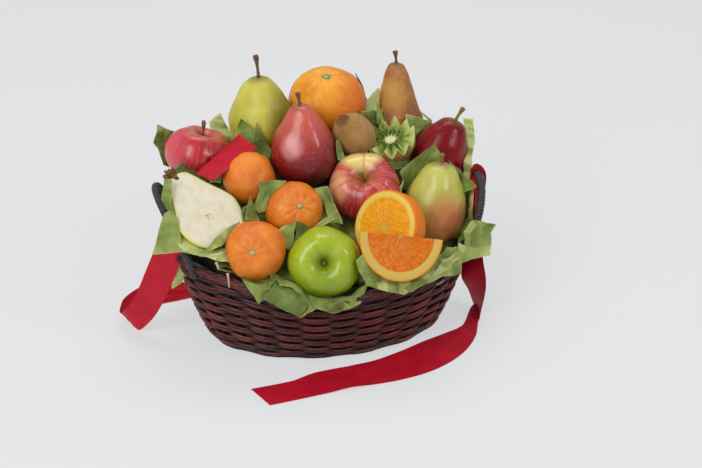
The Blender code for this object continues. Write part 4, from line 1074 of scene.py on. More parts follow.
def half_orange():
    R, seed = 0.0370, 5
    shell = Shell()
    sides = 150
    th = np.arange(sides) / sides * TAU
    u = np.linspace(0, 1, 40)[1:]
    ring = 1 - 0.012 * np.exp(-((1 - u) / 0.02) ** 2)
    rows = []
    for k in u * ring / ring.max():
        z = -0.0005 * math.exp(-(k / 0.10) ** 2) + 0.00035 * math.exp(-((k - 0.86) / 0.05) ** 2)
        jag = 0.00022 * np.abs(np.sin(5 * th)) * (k < 0.86)
        rows.append(np.stack([R * 0.985 * k * np.cos(th), R * 0.985 * k * np.sin(th), z - jag + 0 * th], -1))
    past = 0.0078
    ball = math.hypot(R, past)
    low = -math.asin(past / ball)
    for a in np.concatenate([[low + 0.03, low + 0.07], np.linspace(low + 0.14, math.pi / 2, 40)[:-1]]):
        rows.append(np.stack([ball * math.cos(a) * np.cos(th), ball * math.cos(a) * np.sin(th),
                              0 * th - past - ball * math.sin(a)], -1))
    verts = np.concatenate([[[0, 0, -0.0006]], np.array(rows).reshape(-1, 3), [[0, 0, -past - ball]]])
    n = len(rows)
    faces = [f[::-1] for f in grid_faces(n, sides, True, 1)]
    faces += [(0, 1 + k, 1 + (k + 1) % sides) for k in range(sides)]
    last, a = len(verts) - 1, 1 + (n - 1) * sides
    faces += [(last, a + (k + 1) % sides, a + k) for k in range(sides)]
    verts = verts + unit(verts + 1e-9) * (0.0005 * fbm(verts, 0.014, 2, seed) * (verts[:, 2] < -0.001))[:, None]
    shell.add(verts, faces)
    face = Vector((-0.69, -0.56, 0.47)).normalized()
    matrix = Matrix.Translation(Vector((0.0490, -0.0720, 0.1420))) @ basis(face, (0, 0, 1)).to_4x4()
    m = orange_finish("orange_half_solid", s(240, 168, 8), s(234, 150, 2), s(238, 184, 60), s(225, 196, 86),
                      s(228, 124, 16), R, 0.81, 0.0030)
    obj = shell.build("orange_half_fruit", m, sharp=50, matrix=matrix)
    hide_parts("orange_half")
    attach(obj, "root")


def slice_orange():
    R, T = 0.0416, 0.0105
    shell = Shell()
    n = 120
    th = np.linspace(math.pi, TAU, n)          # lower half: local +Y is up
    u = np.linspace(0, 1, 36)
    rows = []

    def row(k, z, inset=0.0):
        k = max(k, 1e-4)
        x, y = k * np.cos(th), k * np.sin(th)
        return np.stack([x * (1 - inset), np.minimum(y, 0) - inset * 0.004, z + 0 * th], -1)

    def relief(k):
        jag = 0.00028 * np.abs(np.sin(5 * th)) * (k < 0.84 * R)
        return 0.0003 * math.exp(-((k / R - 0.9) / 0.05) ** 2) - jag

    for k in u[1:] * R * 0.988:
        rows.append(row(k, relief(k)))
    for a in np.linspace(0.0, 1.0, 9):
        z = -T * a
        rows.append(row(math.sqrt(R * R - z * z) if a not in (0.0, 1.0) else math.sqrt(R * R - z * z) * 0.997, z))
    low = math.sqrt(R * R - T * T) * 0.985
    for k in (1 - u[1:-1]) * low:
        rows.append(row(k, -T - relief(k) * 0.5))
    rows = np.array(rows)
    count = len(rows)
    verts = rows.reshape(-1, 3)
    heart_front, heart_back = len(verts), len(verts) + 1
    verts = np.concatenate([verts, [[0, -0.0001, 0.0]], [[0, -0.0001, -T]]])
    faces = [f[::-1] for f in grid_faces(count, n, False, 0)]
    faces += [(heart_front, k, k + 1) for k in range(n - 1)]
    last = (count - 1) * n
    faces += [(heart_back, last + k + 1, last + k) for k in range(n - 1)]
    # the straight cut: a strip of faces between the two ends of every row
    left = [r * n for r in range(count)]
    right = [r * n + n - 1 for r in range(count)]
    m = len(u) - 1
    mid = count - m
    chain_l = left
    chain_r = right
    # front half and back half meet along the middle line of the cut
    front = list(range(m))
    back_rows = list(range(count - 1, count - 1 - (len(u) - 2), -1))
    side_rows = list(range(m, m + 9))
    flat_faces = []
    pairs = min(len(front), len(back_rows))
    for chain, flip in ((chain_l, False), (chain_r, True)):
        prev_f, prev_b = heart_front, heart_back
        for k in range(pairs):
            f, b = chain[front[k]], chain[back_rows[k]]
            quad = (prev_f, f, b, prev_b)
            flat_faces.append(quad if flip else quad[::-1])
            prev_f, prev_b = f, b
        rest = [chain[front[k]] for k in range(pairs, len(front))]
        loop = [prev_f] + rest + [chain[r] for r in side_rows] + [prev_b]
        flat_faces.append(tuple(loop) if flip else tuple(loop[::-1]))
    faces += flat_faces
    shell.add(verts, faces)
    face = Vector((-0.178, -0.855, 0.487)).normalized()
    across = Vector((0.962, -0.256, -0.096))
    across = (across - face * across.dot(face)).normalized()
    up = face.cross(across)
    if up.z < 0:
        up = -up
    matrix = Matrix.Translation(Vector((0.0578, -0.1072, 0.1484))) @ basis(face, up).to_4x4() @ Matrix.Diagonal((1.012, 1.11, 1.0, 1.0))
    fin = orange_finish("orange_slice_solid", s(216, 120, 10), s(200, 98, 4), s(230, 158, 50), s(202, 168, 80),
                        s(214, 136, 24), R, 0.80, 0.0022)
    obj = shell.build("orange_slice_fruit", fin, sharp=45, matrix=matrix)
    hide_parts("orange_slice")
    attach(obj, "root")


def half_pear():
    face = Vector((0.20, -0.640, 0.742)).normalized()
    axis = Vector((-0.545, 0.518, 0.750))
    axis = (axis - face * axis.dot(face)).normalized()
    matrix = Matrix.Translation(Vector((-0.1268, -0.0385, 0.1570))) @ basis(face, axis).to_4x4()
    pts = spline([(p[0], 0, p[1]) for p in pear_points("pear_half", 35.8, 53)], 7) * MM
    r, z = np.maximum(pts[:, 0], 0.0), pts[:, 2]
    r[0] = r[-1] = 0.0
    r, z = r[:-4], z[:-4]
    z = z + 0
    r[-1] = 0.0
    rows = len(r)
    shell = Shell()
    # cut face: local y is the long axis, local x goes across
    v = np.linspace(-1, 1, 61)
    yy = np.repeat(z[:, None], 61, 1)
    xx = r[:, None] * v[None, :]
    # a shallow hollow where the seeds were, soft knife marks elsewhere
    hollow = -0.0011 * np.exp(-((xx / 0.0075) ** 2 + ((yy - 0.001) / 0.010) ** 2))
    pts3 = np.stack([xx, yy, hollow], -1)
    zz = 0.00012 * fbm(pts3, 0.009, 3, 8) + hollow - 0.0012 * np.exp(-((1 - np.abs(v[None, :])) / 0.035) ** 2)
    top = np.stack([xx, yy, zz], -1)
    rim = np.repeat((1 - np.abs(v))[None, :], rows, 0) * r[:, None]
    shell.add(top, grid_faces(rows, 61)[::1], 0, rim=rim)
    # skin side
    a = np.linspace(0, math.pi, 60)
    back = np.stack([r[:, None] * np.cos(a)[None, :], np.repeat(z[:, None], 60, 1), -r[:, None] * np.sin(a)[None, :] - 0.0], -1)
    edge_drop = top[:, -1, 2], top[:, 0, 2]
    blend = np.exp(-(np.sin(a)[None, :] / 0.05) ** 2)
    back[..., 2] += blend * (edge_drop[0][:, None] * (a[None, :] < 1.5) + edge_drop[1][:, None] * (a[None, :] >= 1.5))
    back = back + unit(back - np.array([0, 0.005, 0])) * (0.0006 * fbm(back, 0.018, 2, 5) * (1 - blend))[..., None]
    shell.add(back, [f[::-1] for f in grid_faces(rows, 60)][::1], 1, rim=0.0, crown=0.0)
    flesh = Finish("pear_flesh", Roughness=0.42, Specular_IOR_Level=0.45)
    flesh.set(Subsurface_Weight=0.25, Subsurface_Radius=(0.006, 0.004, 0.002), Subsurface_Scale=0.6)
    m = flesh
    x, y, zc = m.xyz()
    rimv = m.value("rim")
    grit = m.noise(700.0, 3.0, 0.6)
    c = m.mix(m.span(m.noise(90.0, 3.0), 0.35, 0.7), s(224, 217, 196), s(214, 205, 178))
    c = m.mix(m.span(grit, 0.5, 0.75, 0.0, 0.30), c, s(200, 188, 150))
    c = m.mix(m.span(rimv, 0.0060, 0.0008), c, s(212, 208, 146))
    c = m.mix(m.span(rimv, 0.0011, 0.0003), c, s(176, 184, 66))
    dx, dy = x, m.math("ADD", y, 0.001)
    core = m.vec("LENGTH", m.join(m.math("MULTIPLY", dx, 1.35), dy, 0.0), out=1)
    core = m.math("ADD", core, m.math("MULTIPLY", m.math("SUBTRACT", m.noise(240.0, 2.0), 0.5), 0.004))
    ringm = m.math("MULTIPLY", m.span(core, 0.0100, 0.0120), m.span(core, 0.0150, 0.0128))
    c = m.mix(m.math("MULTIPLY", ringm, 0.16), c, s(200, 188, 140))
    inner = m.span(core, 0.0062, 0.0040)
    c = m.mix(m.math("MULTIPLY", inner, m.span(m.noise(420.0, 3.0), 0.42, 0.60)), c, s(196, 164, 106))
    thread = m.math("MULTIPLY", m.span(m.math("ABSOLUTE", m.math("ADD", x, m.math("MULTIPLY", m.math("SUBTRACT", m.noise(120.0, 2.0), 0.5), 0.003))), 0.0010, 0.0003),
                    m.span(y, 0.006, 0.030))
    c = m.mix(m.math("MULTIPLY", thread, 0.22), c, s(196, 192, 130))
    m.set(Base_Color=c, Normal=m.bump(grit, 0.0003, 0.5))
    skin = Finish("pear_half_skin", Roughness=0.34)
    sc = skin.mix(skin.span(skin.noise(40.0, 3.0), 0.3, 0.7), s(172, 186, 46), s(152, 166, 38))
    sc = skin.mix(skin.math("MULTIPLY", dots(skin, 0.0024, 0.08, 0.2, 0.7), 0.45), sc, s(120, 124, 40))
    skin.set(Base_Color=sc, Normal=skin.bump(skin.noise(200.0, 3.0), 0.0004, 0.5))
    # torn stem with a dry brown end
    rng = np.random.default_rng(12)
    for k in range(9):
        w = TAU * k / 9
        base = np.array([0.0016 * math.cos(w), 0.0475, -0.0035 + 0.0016 * math.sin(w)])
        lean = np.array([0.0052 * math.cos(w) * rng.uniform(0.3, 1.2) - 0.004, 0.011 + 0.004 * rng.uniform(), 0.0045 * math.sin(w)])
        path = spline([base, base + lean * 0.5 + rng.normal(0, 0.0006, 3), base + lean + rng.normal(0, 0.0008, 3)], 5)
        tube(shell, path, 0.0019 * np.array([1, 1.1, 1.05, 1, .95, 1, 1.1, 1.15, 1.0, .8, .5]), 8,
             ref=(0.2, 0.1, 1), mat=2)
    obj = shell.build("pear_half_fruit", [flesh, skin, stem_finish("torn_stem", s(60, 40, 30), s(150, 104, 56)),
                                          stem_finish("torn_flesh", s(168, 120, 36), s(214, 176, 70))], sharp=40, matrix=matrix)
    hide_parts("pear_half")
    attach(obj, "root")


def star_kiwi():
    R, L, spikes = 0.0268, 0.0275, 12
    face = Vector((-0.209, -0.30, 0.93))
    matrix = seat((79.6, 34.0, 190.0), face, 0.2)
    shell = Shell()
    sides = spikes * 28
    th = np.arange(sides) / sides * TAU
    ph = (th * spikes / TAU + 0.25) % 1.0
    tri = 1 - 2 * np.abs(2 * ph - 1)               # -1 in a notch, +1 on a point
    tri = -tri
    rows, radial, skinmask, out = [], [], [], []
    u = np.linspace(0, 1, 34)[1:]
    for k in u:
        rr = R * k * (1.05 - 0.05 * (1 - tri) * k)
        h = (0.0074 * tri + 0.0018) * k ** 1.05 - 0.0008 * math.exp(-(k / 0.2) ** 2) + 0.0006 * np.abs(np.sin(spikes * th / 2)) * math.exp(-((k - .45) / .2) ** 2)
        rows.append(np.stack([rr * np.cos(th), rr * np.sin(th), h + 0 * th], -1))
        radial.append(np.full(sides, k))
    zr = 0.0074 * tri + 0.0018
    for w in np.linspace(0, 1, 30)[1:-1]:
        z = zr * (1 - w) ** 1.5 - L * (math.sin(w * math.pi / 2)) * 0.999
        rad = R * np.sqrt(np.clip(1 - (z / (L * 1.001)) ** 2, 0, 1)) * (1 + (0.05 - 0.05 * (1 - tri)) * (1 - w) ** 4)
        rows.append(np.stack([rad * np.cos(th), rad * np.sin(th), z], -1))
        radial.append(np.full(sides, 1.2))
    verts = np.concatenate([[[0, 0, 0.0]], np.array(rows).reshape(-1, 3), [[0, 0, -L]]])
    n = len(rows)
    faces = [f[::-1] for f in grid_faces(n, sides, True, 1)]
    faces += [(0, 1 + k, 1 + (k + 1) % sides) for k in range(sides)]
    last, a = len(verts) - 1, 1 + (n - 1) * sides
    faces += [(last, a + (k + 1) % sides, a + k) for k in range(sides)]
    split = (len(u) - 1) * sides
    shell.add(verts, faces, 0, radial=np.concatenate([[0.0], np.concatenate(radial), [1.2]]))
    shell.m = [1 if min(f) > len(u) * sides - 1 else 0 for f in shell.f]
    m = Finish("kiwi_flesh_green", Roughness=0.26, Specular_IOR_Level=0.5)
    m.set(Subsurface_Weight=0.20, Subsurface_Radius=(0.003, 0.005, 0.001), Subsurface_Scale=0.6)
    x, y, z = m.xyz()
    q = m.value("radial")
    angle = m.math("ARCTAN2", y, x)
    ray = m.noise(1.0, 3.0, 0.6, m.join(m.math("MULTIPLY", angle, 14.0), m.math("MULTIPLY", q, 2.2), 0.0))
    c = m.mix(m.span(ray, 0.35, 0.68), s(116, 142, 48), s(186, 200, 116))
    c = m.mix(m.span(q, 0.66, 0.98, 0.0, 0.85), c, s(208, 216, 140))
    c = m.mix(m.math("MULTIPLY", m.span(q, 0.24, 0.34), m.span(q, 0.62, 0.46)), c, s(112, 136, 52))
    c = m.mix(m.span(q, 0.26, 0.16), c, s(232, 234, 186))
    rays = m.math("MULTIPLY", m.span(ray, 0.56, 0.70), m.math("MULTIPLY", m.span(q, 0.12, 0.26), m.span(q, 0.70, 0.45)))
    c = m.mix(m.math("MULTIPLY", rays, 0.8), c, s(216, 222, 170))
    m.set(Base_Color=c, Normal=m.bump(ray, 0.0006, 0.6))
    # seeds in a ring round the pale heart
    rng = np.random.default_rng(21)
    for i in range(96):
        w = TAU * (i + rng.uniform(-0.3, 0.3)) / 96
        k = rng.uniform(0.26, 0.58)
        p = ((w * spikes / TAU + 0.25) % 1.0)
        t = -(1 - 2 * abs(2 * p - 1))
        rr = R * k * (1.05 - 0.05 * (1 - t) * k)
        h = (0.0074 * t + 0.0018) * k ** 1.05 + 0.0003
        c0 = np.array([rr * math.cos(w), rr * math.sin(w), h])
        d = np.array([math.cos(w), math.sin(w), 0.3 * t])
        d = d / np.linalg.norm(d)
        uu = np.linspace(0, math.pi, 7)
        path = c0 + d * (-np.cos(uu) * 0.0011)[:, None]
        tube(shell, path, np.maximum(np.sin(uu), 0.08) * 0.00056, 6, ref=(0.1, 0.2, 1), mat=2)
    seedm = Finish("kiwi_seed", Roughness=0.25)
    seedm.set(Base_Color=seedm.mix(seedm.noise(900.0), s(16, 14, 12), s(44, 34, 28)))
    skin = kiwi_skin("skin_kiwi_cut")
    body = verts[1 + len(u) * sides + sides:]
    hairs(shell, body, np.array([0, 0, 0.0]), 1500, 0.0010, 1, 33)
    obj = shell.build("kiwi_cut_fruit", [m, skin, seedm], sharp=35, matrix=matrix)
    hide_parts("kiwi_cut")
    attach(obj, "root")


half_orange()
slice_orange()
half_pear()
star_kiwi()

# ------------------------------------------------------------------- ribbons
RIBBON_W = 0.038
FLOOR = None      # an edge point that lies on the floor


def edge_point(px, py, y):
    """Point seen at a place in the frame, on the upright plane y or on the floor (mm)."""
    if y is FLOOR:
        ray = RIGHT * ((px - 351.0) / FOCAL) - UP * ((py - 234.0) / FOCAL) - BACK
        return EYE + ray * ((0.0009 - EYE.z) / ray.z)
    return at(px, py, y)


# both edges of each ribbon, station by station
RIBBON_RIGHT = [
    ((477.5, 192, 10), (485.0, 187, 10)), ((477.5, 181, 10), (486.2, 178, 8)), ((477.5, 174.5, 9), (485.2, 170.8, 6)),
    ((476.5, 172.0, 8), (480.6, 164.8, 4)), ((476.0, 174.0, 6), (473.6, 164.2, 4)), ((477.6, 181, 6), (469.5, 176, 4)),
    ((478.5, 196, 0), (468.5, 196, 2)), ((478.5, 212, -8), (467.5, 213, -2)), ((479.0, 230, -16), (465.5, 232, -6)),
    ((481.5, 248, -24), (463.5, 250, -8)), ((483.2, 262, -36), (461.8, 266, -12)), ((485.7, 276, -38), (461.8, 277.5, -14)),
    ((485.7, 288, -40), (468.0, 289, -12)), ((483.6, 300, -42), (472.6, 301, -10)), ((480.6, 312.5, -44), (476.0, 311.5, -6)),
    ((478.3, 325, -46), (470.0, 317.5, -18)), ((475.2, 337, FLOOR), (461.3, 326.4, FLOOR)), ((466, 350, FLOOR), (444, 333.5, FLOOR)),
    ((451, 361.5, FLOOR), (423, 341.5, FLOOR)), ((430, 371.5, FLOOR), (402, 350.5, FLOOR)), ((404, 379, FLOOR), (376, 360, FLOOR)),
    ((377, 384, FLOOR), (354, 365, FLOOR)), ((352, 387, -150), (334, 369.5, -108)), ((330, 392.5, -152), (313, 375.5, -112)),
    ((305, 398, FLOOR), (290, 381.5, FLOOR)), ((286, 402, FLOOR), (270, 385.5, FLOOR)), ((270, 405.2, FLOOR), (251, 389, FLOOR)),
]
RIBBON_LEFT = [
    ((163, 222, -8), (194, 222, -40)), ((157, 240, -8), (189, 238, -36)), ((152.4, 254.7, -8), (185, 252.2, -30)),
    ((146, 270, -6), (179, 267, -24)), ((139.6, 286, -2), (172.3, 283, -18)), ((132.0, 301, 4), (164.3, 300, -10)),
    ((124.5, 310.5, 12), (154, 317, 0)), ((119.8, 312.5, 24), (140.5, 329.6, 8)), ((120.3, 306.5, 40), (134, 326, 22)),
    ((125.0, 297.5, 56), (136, 322, 40)), ((139.6, 287.5, 70), (146, 312, 54)), ((156, 284, 78), (159.5, 307.3, 62)),
    ((173.5, 283, 82), (176, 305.2, 66)), ((190, 281.5, 84), (192, 303.5, 70)), ((212, 280, 86), (214, 301.5, 76)),
]
RIBBON_INNER = [
    ((196, 174, 4), (214, 181, -4)), ((204, 166.2, 6), (223, 173, -2)), ((212.5, 158.5, 9), (231.5, 167, 4)),
    ((221.5, 150.5, 14), (240, 160.5, 10)), ((231, 141.5, 22), (249, 154, 16)), ((239, 134, 30), (257, 148, 22)),
]


def ribbon_finish():
    m = Finish("crimson_ribbon", Roughness=0.50, Specular_IOR_Level=0.22)
    run, across = m.value("run"), m.value("across")
    rib = m.math("SINE", m.math("MULTIPLY", run, TAU / 0.00055))
    warp = m.math("SINE", m.math("MULTIPLY", across, TAU / 0.00045))
    cloudy = m.noise(60.0, 3.0)
    c = m.mix(m.span(cloudy, 0.3, 0.7), s(180, 13, 36), s(194, 19, 44))
    # painted highlight: the crests of the fine cross ribs are lightened
    c = m.mix(m.math("MULTIPLY", m.span(rib, 0.2, 1.0), 0.22), c, s(208, 38, 62))
    c = m.mix(m.span(m.value("edge"), 0.5, 1.0, 0.0, 0.35), c, s(148, 10, 30))
    m.set(Base_Color=c, Normal=m.bump(m.math("ADD", rib, m.math("MULTIPLY", warp, 0.6)), 0.00008, 0.35,
                                      m.bump(cloudy, 0.0008, 0.35)))
    m.set(Sheen_Weight=0.04, Sheen_Roughness=0.35, Sheen_Tint=s(255, 90, 110))
    return m


SATIN = ribbon_finish()


def ribbon(name, pairs, width, per, held):
    rows = [(*edge_point(*p), *edge_point(*q)) for p, q in pairs]
    path = spline(rows, per)
    one, two = path[:, :3], path[:, 3:6]
    c = (one + two) / 2
    tan = unit(np.gradient(c, axis=0))
    normal = unit(np.cross(tan, unit(two - one)))
    run = np.concatenate([[0], np.cumsum(np.linalg.norm(np.diff(c, axis=0), axis=1))])
    reach = np.linalg.norm(two - one, axis=1)
    cols = 25
    v = np.linspace(-1, 1, cols)
    mid = one[:, None] * ((1 - v) / 2)[None, :, None] + two[:, None] * ((1 + v) / 2)[None, :, None]
    gather = np.clip(1 - reach / width, 0, 0.5)
    spare = np.repeat(run[:, None], cols, 1)
    lift = (0.0002 if held == "laid" else 0.0016) * (gather * (gather > 0.25))[:, None] * np.cos(v * 3 * math.pi)[None, :] \
        + 0.00030 * lattice(np.stack([spare * 45, np.repeat(v[None, :], len(run), 0) * 1.2, 0 * spare], -1), 11) \
        * np.clip((mid[..., 2] - 0.003) / 0.02, 0, 1)
    bow = 0.0011 * (1 - v ** 2)[None, :] * np.sin(run * 38)[:, None] * np.clip((mid[..., 2] - 0.003) / 0.02, 0, 1)
    mid = mid + normal[:, None] * (lift + bow)[..., None]
    mid[..., 2] = np.maximum(mid[..., 2], 0.0006)
    t = 0.00020
    top, low = mid + normal[:, None] * t, mid - normal[:, None] * t
    n = len(c)
    shell = Shell()
    faces = grid_faces(n, cols) + [f[::-1] for f in grid_faces(n, cols, False, n * cols)]
    m = n * cols
    border = [(i * cols, (i + 1) * cols) for i in range(n - 1)]
    border += [((n - 1) * cols + j, (n - 1) * cols + j + 1) for j in range(cols - 1)]
    border += [((i + 1) * cols + cols - 1, i * cols + cols - 1) for i in range(n - 1)]
    border += [(j + 1, j) for j in range(cols - 1)]
    faces += [(a, b, b + m, a + m) for a, b in border]
    across = ((v / 2)[None, :] * reach[:, None]).ravel()
    edge = np.repeat((np.abs(v) ** 12)[None, :], n, 0).ravel()
    shell.add(np.concatenate([top.reshape(-1, 3), low.reshape(-1, 3)]), faces, 0, run=np.tile(spare.ravel(), 2),
              across=np.tile(across, 2), edge=np.tile(edge, 2))
    obj = shell.build(name + "_satin", SATIN, sharp=60)
    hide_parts(name)
    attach(obj, "root")
    return obj


ribbon("ribbon_right", RIBBON_RIGHT, RIBBON_W, 14, "hung")
ribbon("ribbon_left", RIBBON_LEFT, RIBBON_W, 16, "hung")
ribbon("ribbon_inner", RIBBON_INNER, RIBBON_W, 14, "laid")


# -------------------------------------------------------------------- tissue
def tissue_finish(name, mid, light, dark):
    m = Finish(name, Roughness=0.62, Specular_IOR_Level=0.3)
    grain = m.noise(520.0, 3.0, 0.6)
    cloud = m.noise(42.0, 3.0, 0.55)
    c = m.mix(m.span(cloud, 0.28, 0.72), dark, light)
    c = m.mix(0.45, c, mid)
    c = m.mix(m.span(grain, 0.45, 0.75, 0.0, 0.30), c, light)
    # painted light and shade: the level makes a sheet lighter where lit and darker where shaded, and pale at the top of
    # the range
    tone = m.value("tone")
    c = m.mix(m.math("MULTIPLY", m.span(tone, 0.5, 1.0), 0.85), c, light)
    c = m.mix(m.math("MULTIPLY", m.span(tone, 0.5, 0.0), 0.80), c, dark)
    c = m.mix(m.span(tone, 0.84, 1.0, 0.0, 0.62), c, s(212, 218, 150))
    # painted highlight: a pale line along the borders of the sheets, where light catches the edges
    c = m.mix(m.math("MULTIPLY", m.value("edge"), m.span(cloud, 0.38, 0.62, 0.15, 0.70)), c, s(200, 208, 146))
    # painted shade: the deep value darkens the tissue to near black down inside the basket, along the front rim and in
    # the front left corner
    c = m.mix(m.math("MULTIPLY", m.value("deep"), 0.93), c, s(16, 16, 10))
    wrinkle = m.noise(150.0, 4.0, 0.6, warp=0.6)
    m.set(Base_Color=c, Normal=m.bump(m.math("ADD", wrinkle, m.math("MULTIPLY", grain, 0.25)), 0.0006, 0.6))
    glow = m.node("ShaderNodeBsdfTranslucent")
    m.put(glow.inputs["Color"], m.mix(m.math("SUBTRACT", 0.5, m.math("MULTIPLY", m.value("deep"), 0.5)), c, s(176, 190, 70)))
    both = m.node("ShaderNodeMixShader")
    both.inputs[0].default_value = 0.18
    m.t.links.new(m.b.outputs[0], both.inputs[1])
    m.t.links.new(glow.outputs[0], both.inputs[2])
    out = next(n for n in m.t.nodes if n.type == "OUTPUT_MATERIAL")
    m.t.links.new(both.outputs[0], out.inputs["Surface"])
    return m


TISSUE = tissue_finish("tissue_green", s(120, 138, 52), s(180, 194, 112), s(58, 76, 18))


def creases(p, amount, size, seed):
    """Sharp straight folds in random directions, as in crumpled paper."""
    rng = np.random.default_rng(seed)
    out = 0.0
    for k in range(6):
        d = rng.normal(0, 1, 3)
        d /= np.linalg.norm(d)
        f = rng.uniform(0.7, 1.6) / size
        w = (p @ d) * f + rng.uniform(0, 2)
        out = out + np.abs((w % 2.0) - 1.0) * rng.uniform(-1, 1)
    mask = 0.35 + 0.65 * np.clip(0.5 + 0.8 * lattice(p / (size * 2.2), seed), 0, 1)
    return amount * out * mask


def leaf(shell, rows, tone=0.5, crumple=0.5, bow=1.0, seed=0, world=False, edges=True):
    """A sheet of tissue over a net of control points (frame x, frame y, depth mm), creased
    along the net's lines."""
    pts = np.array([[tuple(at(*p)) if not world else tuple(c * MM for c in p) for p in row] for row in rows])
    nr, nc = pts.shape[:2]
    tall = max(np.linalg.norm(np.diff(pts, axis=0), axis=-1).sum(0).max(), 0.004)
    wide = max(np.linalg.norm(np.diff(pts, axis=1), axis=-1).sum(1).max(), 0.004)
    per_r = int(np.clip(tall / 0.0013 / (nr - 1), 4, 22))
    per_c = int(np.clip(wide / 0.0013 / (nc - 1), 4, 22))
    tr, tc = np.linspace(0, nr - 1, per_r * (nr - 1) + 1), np.linspace(0, nc - 1, per_c * (nc - 1) + 1)

    def smooth(f):      # a fold is crisp, but not a knife edge
        return f + 0.10 * np.sin(TAU * f) / TAU * -1

    ir, ic = np.minimum(tr.astype(int), nr - 2), np.minimum(tc.astype(int), nc - 2)
    fr, fc = smooth(tr - ir)[:, None, None], smooth(tc - ic)[None, :, None]
    a, b = pts[ir][:, ic], pts[ir][:, ic + 1]
    c, d = pts[ir + 1][:, ic], pts[ir + 1][:, ic + 1]
    grid = (a * (1 - fr) + c * fr) * (1 - fc) + (b * (1 - fr) + d * fr) * fc
    du, dv = np.gradient(grid, axis=0), np.gradient(grid, axis=1)
    normal = unit(np.cross(du, dv) + 1e-15)
    if normal[..., 1].mean() > 0:
        normal = -normal
        flip = True
    else:
        flip = False
    flat = grid.reshape(-1, 3)
    fold = creases(flat, 1.0, 0.014, seed).reshape(grid.shape[:2])
    h = crumple * (0.0016 * fold + 0.0006 * fbm(flat, 0.006, 2, seed + 3).reshape(grid.shape[:2]))
    slope = np.gradient(fold, axis=0) * per_r + np.gradient(fold, axis=1) * per_c
    # painted light and shade on the facets either side of each crease
    tone = np.clip(tone + 0.09 * slope + 0.10 * fold, 0, 1).ravel()
    grid = grid + np.stack([fbm(flat, 0.011, 2, seed + 11 + q) for q in range(3)], -1).reshape(grid.shape) * 0.0008
    arch = np.sin(math.pi * (tc - ic))[None, :] * np.sin(math.pi * (tr - ir))[:, None]
    h = h + bow * 0.0009 * arch * np.sign(lattice(np.stack([ir[:, None] + 0 * ic, ic[None, :] + 0 * ir[:, None],
                                                            np.full((len(ir), len(ic)), seed)], -1) + 0.5, 3))
    grid = grid + normal * h[..., None]
    n, mcols = grid.shape[:2]
    # distance from the border, for the pale edge line: a painted highlight where light catches the border
    run_r = np.minimum(np.arange(n), n - 1 - np.arange(n))[:, None] * tall / (n - 1)
    run_c = np.minimum(np.arange(mcols), mcols - 1 - np.arange(mcols))[None, :] * wide / (mcols - 1)
    dist = np.minimum(run_r, run_c)
    edge = np.exp(-(dist / 0.0007) ** 2) if edges else 0 * dist
    t = 0.00016
    top, low = grid + normal * t, grid - normal * t
    faces = grid_faces(n, mcols)
    under = grid_faces(n, mcols, False, n * mcols)
    if flip:
        faces = [f[::-1] for f in faces]
    else:
        under = [f[::-1] for f in under]
    m = n * mcols
    border = [(i * mcols, (i + 1) * mcols) for i in range(n - 1)]
    border += [((n - 1) * mcols + j, (n - 1) * mcols + j + 1) for j in range(mcols - 1)]
    border += [((i + 1) * mcols + mcols - 1, i * mcols + mcols - 1) for i in range(n - 1)]
    border += [(j + 1, j) for j in range(mcols - 1)]
    side = [(p, q, q + m, p + m) for p, q in border]
    if flip:
        side = [f[::-1] for f in side]
    shell.add(np.concatenate([top.reshape(-1, 3), low.reshape(-1, 3)]), faces + under + side, 0,
              edge=np.tile(edge.ravel(), 2), tone=np.tile(tone, 2))


